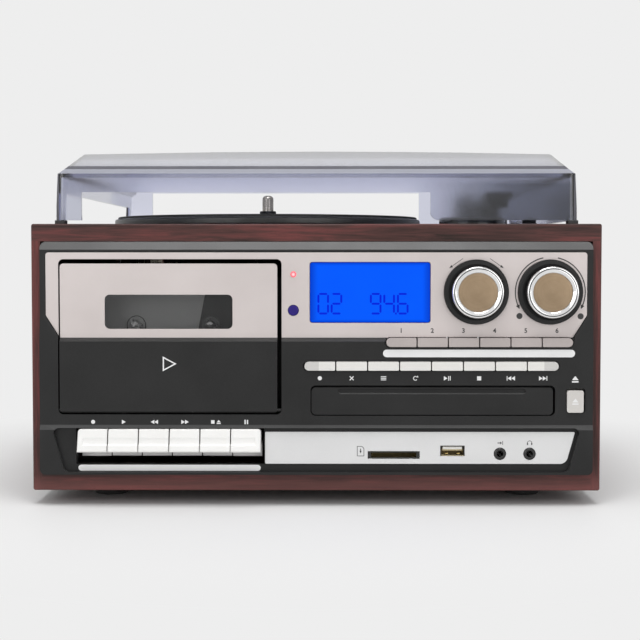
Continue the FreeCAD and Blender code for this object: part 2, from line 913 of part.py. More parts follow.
def row_slot(start, pitch, count, bottom):
    """Pill-shaped slot behind a whole row of buttons."""
    end, middle = f"{start} + {count} * {pitch}", f"{bottom} + button_height / 2"
    bend = "button_height / 2 + slot_gap"
    return hull((f"{start} + button_height / 2", middle, bend),
                (f"{end} - button_height / 2", middle, bend))


def plate_outline(grow):
    """Silver upper plate: a rectangle with its two lower corners cut off."""
    low, high = f"split - ({grow})", f"plate_top + ({grow})"
    west, east = f"plate_left - ({grow})", f"plate_right + ({grow})"
    bend = "plate_corner_radius"
    return hull((f"{west} + plate_corner_run + {bend}", f"{low} + {bend}", bend),
                (f"{east} - plate_corner_run - {bend}", f"{low} + {bend}", bend),
                (f"{east} - {bend}", f"{low} + plate_corner_rise", bend),
                (f"{east} - {bend}", f"{high} - {bend}", bend),
                (f"{west} + {bend}", f"{high} - {bend}", bend),
                (f"{west} + {bend}", f"{low} + plate_corner_rise", bend))


def fascia_blank(body):
    """Rounded slab whose face is cut back to the stepped side profile."""
    slab = rounded("left", "right", "fascia_bottom", "fascia_top", "fascia_corner_radius")
    pad(body, "XZ", [slab], "front - apron_proud", "fascia_back")
    ahead, above = "front - apron_proud - overrun", "fascia_top + overrun"
    waste = polygon((ahead, "apron_top - apron_bevel_height"),
                    ("front - apron_proud", "apron_top - apron_bevel_height"),
                    ("front - lower_proud", "apron_top"),
                    ("front - lower_proud", "split - split_bevel_height"),
                    ("plate_face", "split"),
                    ("plate_face", "plate_top + plate_lip"),
                    ("front", "fascia_top"), ("front", above), (ahead, above))
    pocket(body, "YZ", [waste], "left - overrun", "right + overrun")
    facet = polygon(("plate_face", "split + plate_corner_rise"),
                    ("plate_back", "split + plate_corner_rise"),
                    ("plate_back", "split - split_bevel_height"),
                    ("front - lower_proud", "split - split_bevel_height"))
    reach = "plate_side_inset + plate_corner_run"
    pad(body, "YZ", [facet], "left", f"left + {reach}")
    pad(body, "YZ", [facet], f"right - ({reach})", "right")
    outer = rounded("left", "right", "fascia_bottom", "fascia_top", "fascia_corner_radius")
    inner = rounded("left + skirt_wall", "right - skirt_wall", "fascia_bottom + skirt_wall",
                    "fascia_top - skirt_wall", "fascia_corner_radius - skirt_wall * skirt_round_share")
    pad(body, "XZ", [outer, inner], "fascia_back", "fascia_back + skirt_depth")


def make_front_fascia():
    body = new_body("front_fascia")
    fascia_blank(body)
    ahead = "front - apron_proud - overrun"
    pocket(body, "XZ", [plate_outline("trim_gap")], ahead, "plate_back")
    bend = "recess_corner_radius"
    recess = hull((f"left + recess_top_inset + recess_slant + {bend}", f"recess_bottom + {bend}", bend),
                  (f"right - recess_top_inset - recess_slant - {bend}", f"recess_bottom + {bend}", bend),
                  (f"right - recess_top_inset - {bend}", f"recess_top - {bend}", bend),
                  (f"left + recess_top_inset + {bend}", f"recess_top - {bend}", bend))
    pocket(body, "XZ", [recess], ahead, "strip_back")
    rings = [circle(x, "dial_z", "bezel_diameter / 2") for x in DIALS.values()]
    pad(body, "XZ", rings, "front - bezel_proud", "plate_back")
    wells = [circle(x, "dial_z", "bezel_diameter / 2 - bezel_wall") for x in DIALS.values()]
    pocket(body, "XZ", wells, ahead, "plate_back")
    bushings = [circle(x, "dial_z", "knob_shaft_radius + bushing_wall") for x in DIALS.values()]
    pad(body, "XZ", bushings, "fascia_back", "fascia_back + bushing_length")
    pocket(body, "XZ", [circle(x, "dial_z", "knob_shaft_radius + running_fit") for x in DIALS.values()],
           ahead, "fascia_back + bushing_length")
    pocket(body, "XZ", fascia_openings(), ahead, "fascia_back")
    pin_hole = circle("hinge_y", "hinge_z", "door_pin_radius + running_fit")
    pin_depth = "door_gap + door_pin_length"
    pocket(body, "YZ", [pin_hole], f"door_left - ({pin_depth})", "door_left")
    pocket(body, "YZ", [pin_hole], "door_right", f"door_right + ({pin_depth})")
    return node(body, "front_fascia")


def fascia_openings():
    tray = rounded("tray_left - slot_gap", "tray_right + slot_gap", "tray_bottom - slot_gap",
                   "tray_top + slot_gap", "tray_front_radius + slot_gap")
    eject = rounded("eject_left - slot_gap", "eject_left + eject_width + slot_gap",
                    "(tray_bottom + tray_top - eject_height) / 2 - slot_gap",
                    "(tray_bottom + tray_top + eject_height) / 2 + slot_gap",
                    "eject_corner_radius + slot_gap")
    key_slot = rect("key_left - key_slot_side", "key_right + key_slot_side",
                    "fascia_bottom + key_slot_rise", "recess_top - key_slot_drop")
    holes = [DOOR_OPENING, DISPLAY_OPENING, tray, eject, key_slot,
             row_slot("function_left", "function_pitch", "function_buttons", "function_bottom"),
             row_slot("cd_row_left", "cd_pitch", "cd_buttons", "cd_row_bottom"),
             circle("lamp_x", "split + led_rise", "led_radius + trim_gap"),
             circle("lamp_x", "split + sensor_rise", "sensor_radius + trim_gap")]
    return holes + socket_openings()


def socket_openings():
    """Card slot, data socket and two jack holes through plate and fascia."""
    return [socket_rect("card_x", "card_z", "card_width", "card_height"),
            socket_rect("usb_x", "usb_z", "usb_width", "usb_height"),
            circle("jack_x", "jack_z", "jack_radius + trim_gap"),
            circle("jack_x + jack_pitch", "jack_z", "jack_radius + trim_gap")]


def socket_rect(x, z, wide, high, grow="0"):
    return rect(f"{x} - {wide} / 2 - ({grow})", f"{x} + {wide} / 2 + ({grow})",
                f"{z} - {high} / 2 - ({grow})", f"{z} + {high} / 2 + ({grow})")


def make_upper_trim_plate():
    body = new_body("upper_trim_plate")
    pad(body, "XZ", [plate_outline("0")], "plate_face", "plate_back")
    holes = [DISPLAY_OPENING, circle("lamp_x", "split + led_rise", "led_radius + trim_gap"),
             circle("lamp_x", "split + sensor_rise", "sensor_radius + trim_gap")]
    holes += [circle(x, "dial_z", "bezel_diameter / 2 + trim_gap") for x in DIALS.values()]
    pocket(body, "XZ", holes, "plate_face - overrun", "plate_back + overrun")
    pocket(body, "XZ", [DOOR_OPENING], "plate_face - overrun", "plate_back + overrun")
    pocket(body, "XZ", [row_slot("function_left", "function_pitch", "function_buttons",
                                 "function_bottom")],
           "plate_face - overrun", "plate_back + overrun")
    return node(body, "upper_trim_plate")


def make_lower_trim_plate():
    body = new_body("lower_trim_plate")
    bend, edge = "strip_corner_radius", "strip_edge_radius"
    slant = "recess_slant * (strip_top - strip_bottom) / recess_height"
    outline = hull((f"strip_left + {edge}", f"strip_bottom + {edge}", edge),
                   (f"strip_right - {slant} - {bend}", f"strip_bottom + {bend}", bend),
                   (f"strip_right - {edge}", f"strip_top - {edge}", edge),
                   (f"strip_left + {edge}", f"strip_top - {edge}", edge))
    pad(body, "XZ", [outline], "strip_face", "strip_back")
    pocket(body, "XZ", socket_openings(), "strip_face - overrun", "strip_back + overrun")
    return node(body, "lower_trim_plate")


def make_display():
    body = new_body("display")
    glass = rounded("display_left + trim_gap", "display_right - trim_gap", "display_bottom + trim_gap",
                    "display_top - trim_gap", "display_corner_radius")
    pad(body, "XZ", [glass], "plate_face + display_setback", "fascia_back")
    frame = rect("display_left - display_flange", "display_right + display_flange",
                 "display_bottom - display_flange", "display_top + display_flange")
    pad(body, "XZ", [frame], "fascia_back", "fascia_back + display_depth")
    return node(body, "display")


def make_lens(label, rise, radius, stand):
    """Domed lens pushed through the fascia from behind, with a flange."""
    length = f"upper_proud + fascia_depth + {stand}"
    lens = turned(label, ("0", "-lens_flange_depth"), (f"{radius} + lens_flange", "-lens_flange_depth"),
                  (f"{radius} + lens_flange", "0"), (radius, "0"), (radius, f"{length} - {stand}"),
                  (f"{radius} * dome_share", length), ("0", length))
    return node(place(lens, "lamp_x", "fascia_back", f"split + {rise}", TO_FRONT), label)


# Sockets in the lower strip

def make_socket(label, x, z, wide, high, mouth_wide, mouth_high, depth):
    """Flanged shell whose mouth is flush with the silver strip."""
    body = new_body(label)
    pad(body, "XZ", [socket_rect(x, z, wide, high, "-trim_gap")], "strip_face", "fascia_back")
    pad(body, "XZ", [socket_rect(x, z, wide, high, "socket_flange")],
        "fascia_back", "fascia_back + socket_flange_depth")
    pad(body, "XZ", [socket_rect(x, z, wide, high)],
        "fascia_back + socket_flange_depth", f"strip_face + {depth} + socket_wall")
    pocket(body, "XZ", [socket_rect(x, z, mouth_wide, mouth_high)],
           "strip_face - overrun", f"strip_face + {depth}")
    return body


def make_usb_socket():
    body = make_socket("usb_socket", "usb_x", "usb_z", "usb_width", "usb_height",
                       "usb_mouth_width", "usb_mouth_height", "usb_depth")
    tongue_top = "usb_z + usb_mouth_height / 2 - usb_tongue_gap"
    tongue = rect("usb_x - usb_mouth_width * tongue_share", "usb_x + usb_mouth_width * tongue_share",
                  f"{tongue_top} - usb_tongue", tongue_top)
    pad(body, "XZ", [tongue], "strip_face + usb_tongue_setback", "strip_face + usb_depth")
    return node(body, "usb_socket")


def make_audio_jacks():
    jacks = []
    reach = "fascia_back - strip_face"
    for x in ("jack_x", "jack_x + jack_pitch"):
        jack = turned("Jack", ("jack_bore_radius", f"{reach} + jack_proud - jack_depth"),
                      ("jack_bore_radius", f"{reach} + jack_proud"),
                      ("jack_radius * dome_share", f"{reach} + jack_proud"), ("jack_radius", reach),
                      ("jack_radius", "0"), ("jack_radius + socket_flange", "0"),
                      ("jack_radius + socket_flange", f"{reach} + jack_proud - jack_depth"))
        jacks.append(place(jack, x, "fascia_back", "jack_z", TO_FRONT))
    return group("audio_jacks", *jacks)


# Speakers and electronics

def make_speakers():
    """Drivers screwed behind the slots in the two side boards."""
    flange_back = "-speaker_flange"
    cone_back = "-speaker_flange - speaker_cone_depth"
    magnet_back = f"{cone_back} - speaker_magnet_depth"
    drivers = []
    for x, turn in (("-side + side_board", TO_LEFT), ("side - side_board", TO_RIGHT)):
        driver = turned("Driver", ("0", magnet_back), ("speaker_magnet_radius", magnet_back),
                        ("speaker_magnet_radius", cone_back), ("speaker_neck_radius", cone_back),
                        ("speaker_radius * dome_share", flange_back), ("speaker_radius", flange_back),
                        ("speaker_radius", "0"), ("speaker_radius * rim_share", "0"),
                        ("speaker_dome_radius", "-speaker_cone_depth"),
                        ("0", "speaker_dome_rise - speaker_cone_depth"))
        drivers.append(place(driver, x, "back - speaker_rear_inset", "foot_height + speaker_rise", turn))
    return group("speakers", *drivers)


def make_main_board():
    """Circuit board on four posts, with transformer, heat sink and capacitors."""
    left, near = "left + board_side_inset", "front + board_behind"
    right, far = f"{left} + board_width", f"{near} + board_length"
    floor = "foot_height + bottom_board"
    low = f"{floor} + standoff_height"
    top = f"{low} + board_thickness"
    pieces = [box("Board", (left, right), (near, far), (low, top))]
    for x in (f"{left} + standoff_inset", f"{right} - standoff_inset"):
        for y in (f"{near} + standoff_inset", f"{far} - standoff_inset"):
            pieces.append(rod("Standoff", "z", x, y, (floor, low), "standoff_radius"))
    inset = f"{left} + standoff_inset"
    pieces.append(box("Transformer", (inset, f"{inset} + transformer_width"),
                      (f"{far} - standoff_inset - transformer_length", f"{far} - standoff_inset"),
                      (top, f"{top} + transformer_height")))
    pieces.append(box("HeatSink", (f"{right} - heatsink_thickness", right),
                      (near, f"{near} + heatsink_length"), (top, f"{top} + heatsink_height")))
    for step in ("1", "2", "3"):
        pieces.append(rod("Capacitor", "z", f"{right} - {step} * 3 * capacitor_radius",
                          f"{far} - 2 * capacitor_radius", (top, f"{top} + capacitor_height"),
                          "capacitor_radius"))
    return node(fused("main_board", *pieces), "main_board")


# Cassette recorder

def make_cassette_door():
    """Door that swings out at its foot and carries the tape in a holder."""
    body = new_body("cassette_door")
    face, back = "front - lower_proud", "front + door_panel_depth"
    panel = rounded("door_left", "door_right", "door_bottom", "door_top", "door_corner_radius")
    pad(body, "XZ", [panel], face, back)
    ahead, above = f"{face} - overrun", "door_top + overrun"
    waste = polygon((ahead, "split - split_bevel_height"), (face, "split - split_bevel_height"),
                    ("plate_face", "split"), ("plate_face", above), (ahead, above))
    pocket(body, "YZ", [waste], "door_left - overrun", "door_right + overrun")
    leg = "door_hinge_radius * bevel_share"
    heel = polygon((face, f"door_bottom + {leg}"), (ahead, f"door_bottom + {leg}"),
                   (ahead, "door_bottom - overrun"), (f"{face} + {leg}", "door_bottom - overrun"),
                   (f"{face} + {leg}", "door_bottom"))
    pocket(body, "YZ", [heel], "door_left - overrun", "door_right + overrun")
    holder_back = f"{back} + tape_thickness + tape_play"
    channel = "tape_width / 2 + tape_play"
    floor = "door_bottom + holder_rise"
    top = f"{floor} + tape_height * holder_share"
    west, east = f"door_middle - ({channel})", f"door_middle + {channel}"
    pad(body, "XZ", [rect(f"{west} - holder_wall", west, f"{floor} - holder_wall", top),
                     rect(east, f"{east} + holder_wall", f"{floor} - holder_wall", top)],
        back, f"{holder_back} + holder_wall")
    pad(body, "XZ", [rect(west, east, f"{floor} - holder_wall", floor)],
        back, f"{holder_back} + holder_wall")
    pad(body, "XZ", [rect(west, f"{west} + holder_lip", floor, top),
                     rect(f"{east} - holder_lip", east, floor, top)],
        holder_back, f"{holder_back} + holder_wall")
    pocket(body, "XZ", [window_outline("0")], ahead, f"{back}")
    pocket(body, "XZ", [window_outline("window_lap")], "plate_face + window_setback", back)
    pin = circle("hinge_y", "hinge_z", "door_pin_radius")
    stub = "door_gap + door_pin_length - fit"
    pad(body, "YZ", [pin], f"door_left - ({stub})", "door_left + door_corner_radius")
    pad(body, "YZ", [pin], "door_right - door_corner_radius", f"door_right + {stub}")
    return node(body, "cassette_door")


def window_outline(grow):
    low = "door_bottom + window_rise"
    return rounded(f"door_middle - window_width / 2 - ({grow})",
                   f"door_middle + window_width / 2 + ({grow})",
                   f"{low} - ({grow})", f"{low} + window_height + ({grow})", "window_corner_radius")


def make_cassette_window():
    body = new_body("cassette_window")
    pad(body, "XZ", [window_outline("window_lap - trim_gap")], "plate_face + window_setback",
        "plate_face + window_setback + window_thickness")
    return node(body, "cassette_window")


REELS = {"supply_spindle": "door_middle - reel_pitch / 2",
         "takeup_spindle": "door_middle + reel_pitch / 2"}


def make_cassette_chassis():
    """Plate on four posts behind the fascia; its cheeks carry the key shaft."""
    body = new_body("cassette_chassis")
    stand = "door_gap + chassis_post_clear + chassis_post_radius"
    west, east = f"door_left - ({stand})", f"door_right + {stand}"
    low, high = "door_bottom + chassis_post_low", "door_bottom + chassis_post_high"
    plate = rounded(f"{west} - chassis_post_radius", f"{east} + chassis_post_radius",
                    "door_bottom", f"{high} + 2 * chassis_post_radius", "chassis_post_radius")
    pad(body, "XZ", [plate], "chassis_y", "chassis_y + chassis_thickness")
    posts = [circle(x, z, "chassis_post_radius") for x in (west, east) for z in (low, high)]
    pad(body, "XZ", posts, "fascia_back", "chassis_y")
    holes = [circle(x, "reel_z", "reel_shaft_radius + running_fit") for x in REELS.values()]
    pocket(body, "XZ", holes, "chassis_y - overrun", "chassis_y + overrun")
    cheek = polygon(("chassis_y", "pivot_z - key_boss_radius"),
                    ("pivot_y + key_cheek_reach", "pivot_z - key_boss_radius"),
                    ("pivot_y + key_cheek_reach", "pivot_z + key_boss_radius"),
                    ("chassis_y + chassis_thickness", "door_bottom + chassis_post_low"),
                    ("chassis_y", "door_bottom + chassis_post_low"))
    pad(body, "YZ", [cheek], "key_left - key_cheek", "key_left")
    pad(body, "YZ", [cheek], "key_right", "key_right + key_cheek")
    pad(body, "YZ", [circle("pivot_y", "pivot_z", "key_shaft_radius")], "key_left", "key_right")
    return node(body, "cassette_chassis")


def make_reel(label, x):
    """Splined reel drive that reaches into the tape hub."""
    root, tip = "reel_collar_length + reel_gap", "reel_collar_length + reel_gap + reel_reach"
    body = turned(label, ("0", "-reel_shaft_length"), ("reel_shaft_radius", "-reel_shaft_length"),
                  ("reel_shaft_radius", "reel_gap"), ("reel_collar_radius", "reel_gap"),
                  ("reel_collar_radius", root), ("reel_radius", root),
                  ("reel_radius", f"{tip} - reel_tip"), ("reel_radius * nose_share", tip), ("0", tip))
    fin = rect("0", "reel_radius + reel_fin", "-reel_fin_width / 2", "reel_fin_width / 2")
    spline = pad(body, "XY", [fin], root, f"{tip} - reel_tip")
    DOC.recompute()
    pattern = body.newObject("PartDesign::PolarPattern", "PolarPattern")
    pattern.Originals = [spline]
    pattern.Axis = (spline.Profile[0], ["N_Axis"])
    pattern.Angle = FULL_TURN
    bind(pattern, Occurrences="reel_fins")
    body.Tip = pattern
    return node(place(body, x, "chassis_y", "reel_z", TO_FRONT), label)


KEYS = ("pause_key", "stop_eject_key", "fast_forward_key", "rewind_key", "play_key", "record_key")


def make_key(label, number):
    """Piano key: a slanted cap on a lever that turns on the chassis shaft."""
    body = new_body(label)
    top = "fascia_bottom + key_top_rise"
    tip = f"{top} - key_face_height"
    lever_top = f"{top} - key_lever_drop"
    lever_low = f"{lever_top} - key_lever_thickness"
    tab_low = "fascia_bottom + key_tab_rise"
    cap_face, cap_tip = "front - key_top_proud", "front - key_tip_proud"
    tab = "front + key_tab_behind"
    rake = "(key_tip_proud - key_top_proud) / key_face_height"
    profile = polygon((cap_face, top), (cap_tip, tip), (f"{cap_tip} + key_wall", tip),
                      (f"{cap_tip} + key_wall + ({lever_low} - ({tip})) * {rake}", lever_low),
                      (tab, lever_low), (tab, tab_low), (f"{tab} + key_tab_thickness", tab_low),
                      (f"{tab} + key_tab_thickness", lever_low), ("pivot_y", lever_low),
                      ("pivot_y", lever_top), (f"{cap_face} + key_cap_depth", lever_top),
                      (f"{cap_face} + key_cap_depth", top))
    west = f"key_right - {number} * key_pitch + key_gap / 2"
    east = f"{west} + key_pitch - key_gap"
    pad(body, "YZ", [profile], west, east)
    pad(body, "YZ", [circle("pivot_y", "pivot_z", "key_boss_radius")], west, east)
    pocket(body, "YZ", [circle("pivot_y", "pivot_z", "key_shaft_radius + running_fit")], west, east)
    first, last = number == 1, number == COUNTS["keys"]
    key_groove(body, f"{west} + key_groove_end" if last else west,
               f"{east} - key_groove_end" if first else east)
    if first or last:
        outer = east if first else west
        round_edges(body, "key_corner_radius", lambda p: same(p.x, outer) and same(p.z, top))
    round_edges(body, "key_edge_radius", lambda p: (same(p.y, cap_face) and same(p.z, top))
                or (same(p.y, cap_tip) and same(p.z, tip)))
    return node(body, label)


def key_groove(body, west, east):
    """Shallow finger groove across the slanted face of a key."""
    lean = "(key_tip_proud - key_top_proud)"
    slant = f"sqrt({lean} * {lean} + key_face_height * key_face_height)"
    stand_off = f"(key_groove_radius - key_groove_depth) / {slant}"
    groove = circle(f"front - key_top_proud - {lean} * groove_share - {stand_off} * key_face_height",
                    f"fascia_bottom + key_top_rise - key_face_height * groove_share + {stand_off} * {lean}",
                    "key_groove_radius")
    pocket(body, "YZ", [groove], west, east)


# Disc drive

def tray_box(grow):
    """Span of the sliding tray in X and Z, grown all round."""
    low = "tray_bottom + tray_drop"
    return (f"tray_left + tray_side_inset - ({grow})", f"tray_right - tray_side_inset + {grow}",
            f"{low} - ({grow})", f"{low} + tray_thickness + {grow}")


def make_cd_tray():
    body = new_body("cd_tray")
    face = "front - lower_proud + tray_front_setback"
    plate_start = f"{face} + tray_front_depth"
    front_panel = rounded("tray_left", "tray_right", "tray_bottom", "tray_top", "tray_front_radius")
    pad(body, "XZ", [front_panel], face, plate_start)
    middle = "(tray_left + tray_right) / 2"
    scoop = rounded(f"{middle} - scoop_width / 2", f"{middle} + scoop_width / 2",
                    "tray_top - scoop_drop - scoop_height", "tray_top - scoop_drop",
                    "scoop_height * slot_round_share")
    pocket(body, "XZ", [scoop], f"{face} - overrun", f"{face} + scoop_depth")
    west, east, low, high = tray_box("0")
    pad(body, "XZ", [rect(west, east, low, high)], plate_start, f"{plate_start} + tray_length")
    disc_y = "front + disc_behind"
    pocket(body, "XY", [circle(middle, disc_y, "disc_radius")], f"{high} - disc_well", high)
    pocket(body, "XY", [circle(middle, disc_y, "small_disc_radius")],
           f"{high} - disc_well - small_disc_well", high)
    port = rounded(f"{middle} - tray_port_width / 2", f"{middle} + tray_port_width / 2",
                   f"{disc_y} - tray_port_width / 2", f"{disc_y} - tray_port_width / 2 + tray_port_length",
                   "tray_port_width * slot_round_share")
    pocket(body, "XY", [port], f"{low} - overrun", high)
    return node(body, "cd_tray")


def make_cd_drive():
    """Open-fronted case that the tray slides in, flanged to the fascia."""
    body = new_body("cd_drive")
    west, east, low, high = tray_box("tray_fit")
    headroom = f"{high} + drive_headroom"
    outer = rect(f"{west} - drive_wall", f"{east} + drive_wall", f"{low} - drive_wall",
                 f"{headroom} + drive_wall")
    pad(body, "XZ", [outer], "fascia_back", "fascia_back + drive_length")
    flange = rect(f"{west} - drive_wall - drive_flange", f"{east} + drive_wall + drive_flange",
                  f"{low} - drive_wall - drive_flange", f"{headroom} + drive_wall + drive_flange")
    pad(body, "XZ", [flange], "fascia_back", "fascia_back + drive_wall")
    pocket(body, "XZ", [rect(west, east, low, headroom)], "fascia_back",
           "fascia_back + drive_length - drive_wall")
    return node(body, "cd_drive")


# Buttons

def make_button(label, outline, flange):
    """Cap that stands proud of the fascia, with a flange behind it."""
    body = new_body(label)
    pad(body, "XZ", [outline], "front - lower_proud - button_proud", "fascia_back")
    pad(body, "XZ", [flange], "fascia_back", "fascia_back + button_flange_depth")
    return node(body, label)


def make_row(stem, start, pitch, bottom, count):
    """Row of caps whose outer ends are half round."""
    low, high = bottom, f"{bottom} + button_height"
    middle, bend, sharp = f"{bottom} + button_height / 2", "button_height / 2", "button_corner_radius"
    for number in range(count):
        west = f"{start} + {number} * {pitch} + button_gap / 2"
        east = f"{west} + {pitch} - button_gap"
        left_end = [(f"{west} + {sharp}", f"{high} - {sharp}", sharp),
                    (f"{west} + {sharp}", f"{low} + {sharp}", sharp)]
        right_end = [(f"{east} - {sharp}", f"{low} + {sharp}", sharp),
                     (f"{east} - {sharp}", f"{high} - {sharp}", sharp)]
        if number == 0:
            left_end = [(f"{west} + {bend}", middle, bend)]
        if number == count - 1:
            right_end = [(f"{east} - {bend}", middle, bend)]
        flange = rect(west, east, f"{low} - button_flange", f"{high} + button_flange")
        make_button(f"{stem}_{number + 1}", hull(*right_end, *left_end), flange)


def make_eject_button():
    low = "(tray_bottom + tray_top - eject_height) / 2"
    outline = rounded("eject_left", "eject_left + eject_width", low, f"{low} + eject_height",
                      "eject_corner_radius")
    flange = rect("eject_left - button_flange", "eject_left + eject_width + button_flange",
                  f"{low} - button_flange", f"{low} + eject_height + button_flange")
    make_button("eject_button", outline, flange)


# Dials

def make_dial(stem, x):
    """Chromed knob on a shaft, with a spun bronze cap set in its face."""
    face = "knob_reach"
    seat = f"{face} - knob_cap_thickness"
    foot = "upper_proud - plate_thickness + knob_clear"
    tail = "-fascia_depth - knob_shaft_length"
    knob = turned(f"{stem}_knob", ("0", tail), ("knob_shaft_radius", tail), ("knob_shaft_radius", foot),
                  ("knob_radius", foot), ("knob_radius", f"{face} - knob_lip_depth"),
                  ("knob_radius - knob_lip", face), ("knob_cap_radius + trim_gap", face),
                  ("knob_cap_radius + trim_gap", seat), ("0", seat))
    node(place(knob, x, "front", "dial_z", TO_FRONT), f"{stem}_knob")
    crown = f"{face} - knob_cap_crown"
    cap = turned(f"{stem}_knob_cap", ("0", seat), ("knob_cap_radius", seat),
                 ("knob_cap_radius", f"{crown} - knob_cap_crown"), ("knob_cap_radius - knob_lip", crown),
                 ("0", crown))
    return node(place(cap, x, "front", "dial_z", TO_FRONT), f"{stem}_knob_cap")


# Record deck

def make_deck_plate():
    """Moulded deck with the platter well, bearing cup, arm base and arm rest."""
    body = new_body("deck_plate")
    half = "side - deck_side_inset - deck_gap"
    near, far = "front + deck_front_inset + deck_gap", "back - deck_rear_inset - deck_gap"
    plate = rounded(f"-({half})", half, near, far, "deck_corner_radius - deck_gap")
    pad(body, "XY", [plate], "deck - deck_thickness", "deck")

    def disc(radius):
        return circle("platter_x", "platter_y", radius)

    pad(body, "XY", [disc("well_radius + deck_wall")], "well_under", "deck")
    pocket(body, "XY", [disc("well_radius")], "well_floor", "deck")
    pad(body, "XY", [disc("spindle_shaft_radius + running_fit + bearing_wall")],
        "spindle_foot - bearing_floor", "well_floor")
    pocket(body, "XY", [disc("spindle_shaft_radius + running_fit")], "spindle_foot", "deck")
    pocket(body, "XY", [circle("motor_x", "platter_y", "motor_boss_radius + fit")],
           "well_under - overrun", "deck")
    bore_floor = "arm_base_top - arm_shaft_depth"
    pad(body, "XY", [circle("arm_x", "arm_y", "arm_base_radius")],
        f"{bore_floor} - deck_wall", "arm_base_top")
    pocket(body, "XY", [circle("arm_x", "arm_y", "arm_shaft_radius + running_fit")],
           bore_floor, "arm_base_top")
    rest_y = "front + rest_behind"
    rest = (f"{rest_y} - rest_depth / 2", f"{rest_y} + rest_depth / 2")
    cradle = "arm_z - arm_tube_radius - rest_gap"
    pad(body, "XY", [rect("arm_x - rest_width / 2", "arm_x + rest_width / 2", *rest)], "deck", cradle)
    slot = rect("switch_offset - switch_stem / 2 - switch_fit",
                "switch_offset + switch_stem / 2 + switch_fit",
                "switch_y - switch_stem / 2 - switch_fit",
                "switch_y + switch_stem / 2 + switch_travel + switch_fit")
    pocket(body, "XY", [slot], "deck - overrun", "deck")
    return node(body, "deck_plate")


def make_speed_switch():
    cap = box("SwitchCap", ("switch_offset - switch_width / 2", "switch_offset + switch_width / 2"),
              ("switch_y - switch_length / 2", "switch_y + switch_length / 2"),
              ("deck", "deck + switch_base"))
    grip = box("SwitchGrip", ("switch_offset - switch_width / 2", "switch_offset + switch_width / 2"),
               ("switch_y - switch_stem / 2", "switch_y + switch_stem / 2"),
               ("deck + switch_base", "deck + switch_height"))
    stem = box("SwitchStem", ("switch_offset - switch_stem / 2", "switch_offset + switch_stem / 2"),
               ("switch_y - switch_stem / 2", "switch_y + switch_stem / 2"),
               ("deck - deck_thickness - switch_stem", "deck"))
    return node(fused("speed_switch", cap, grip, stem), "speed_switch")


def make_platter():
    bore, low = "spindle_shaft_radius + fit", "-drum_drop"
    inner_drum, rim = "drum_radius - drum_wall", "platter_radius - platter_rim_wall"
    platter = turned("platter", (bore, low), ("hub_radius", low), ("hub_radius", "0"), (inner_drum, "0"),
                     (inner_drum, low), ("drum_radius", low), ("drum_radius", "0"), (rim, "0"),
                     (rim, "-platter_rim_drop"), ("platter_radius", "-platter_rim_drop"),
                     ("platter_radius", "platter_thickness - platter_edge"),
                     ("platter_radius - platter_edge", "platter_thickness"), (bore, "platter_thickness"))
    node(place(platter, "platter_x", "platter_y", "platter_under"), "platter")
    label = "mat_thickness - mat_label_depth"
    hole = "spindle_shaft_radius + trim_gap"
    mat = turned("platter_mat", (hole, "0"), ("mat_radius", "0"), ("mat_radius", "mat_thickness"),
                 ("mat_label_radius", "mat_thickness"), ("mat_label_radius", label), (hole, label))
    node(place(mat, "platter_x", "platter_y", "platter_top"), "platter_mat")
    top = "platter_top + mat_thickness + spindle_rise"
    step = f"platter_top + {label} + spindle_step"
    spindle = turned("record_spindle", ("0", "spindle_foot"), ("spindle_shaft_radius", "spindle_foot"),
                     ("spindle_shaft_radius", step), ("spindle_radius", step),
                     ("spindle_radius", f"{top} - spindle_nose"), ("spindle_radius * nose_share", top),
                     ("0", top))
    return node(place(spindle, "platter_x", "platter_y"), "record_spindle")


def make_platter_drive():
    motor = turned("platter_motor", ("0", "well_under - motor_height"),
                   ("motor_radius", "well_under - motor_height"), ("motor_radius", "well_under"),
                   ("motor_boss_radius", "well_under"), ("motor_boss_radius", "well_floor"),
                   ("motor_shaft_radius", "well_floor"), ("motor_shaft_radius", "pulley_top"),
                   ("0", "pulley_top"))
    node(place(motor, "motor_x", "platter_y"), "platter_motor")
    bore, brim = "motor_shaft_radius + running_fit", "pulley_radius + pulley_flange"
    groove = ("pulley_bottom + pulley_flange_height", "pulley_top - pulley_flange_height")
    pulley = turned("motor_pulley", (bore, "pulley_bottom"), (brim, "pulley_bottom"), (brim, groove[0]),
                    ("pulley_radius", groove[0]), ("pulley_radius", groove[1]), (brim, groove[1]),
                    (brim, "pulley_top"), (bore, "pulley_top"))
    node(place(pulley, "motor_x", "platter_y"), "motor_pulley")
    belt = new_body("drive_belt")

    def loop(offset):
        return hull(("motor_x", "platter_y", f"pulley_radius + {offset}"),
                    ("platter_x", "platter_y", f"drum_radius + {offset}"))

    pad(belt, "XY", [loop("belt_clearance + belt_thickness"), loop("belt_clearance")],
        "belt_bottom", "belt_bottom + belt_width")
    return node(belt, "drive_belt")


def make_tonearm_yoke():
    """Swivel that turns in the arm base; its ears hold the arm's pins."""
    body = new_body("tonearm_yoke")
    seat = "arm_base_top + yoke_gap"
    disc_top = f"{seat} + yoke_thickness"
    pad(body, "XY", [circle("arm_x", "arm_y", "arm_shaft_radius")],
        "arm_base_top - arm_shaft_depth", disc_top)
    pad(body, "XY", [circle("arm_x", "arm_y", "yoke_radius")], seat, disc_top)
    near, far = "arm_y - yoke_ear_length / 2", "arm_y + yoke_ear_length / 2"
    inner, outer = "yoke_span / 2", "yoke_span / 2 + yoke_ear"
    ears = [rect(f"arm_x - ({outer})", f"arm_x - {inner}", near, far),
            rect(f"arm_x + {inner}", f"arm_x + {outer}", near, far)]
    pad(body, "XY", ears, disc_top, "arm_z + yoke_ear_length / 2")
    pocket(body, "YZ", [circle("arm_y", "arm_z", "arm_pin_radius + running_fit")],
           f"arm_x - ({outer}) - overrun", f"arm_x + {outer} + overrun")
    return node(body, "tonearm_yoke")


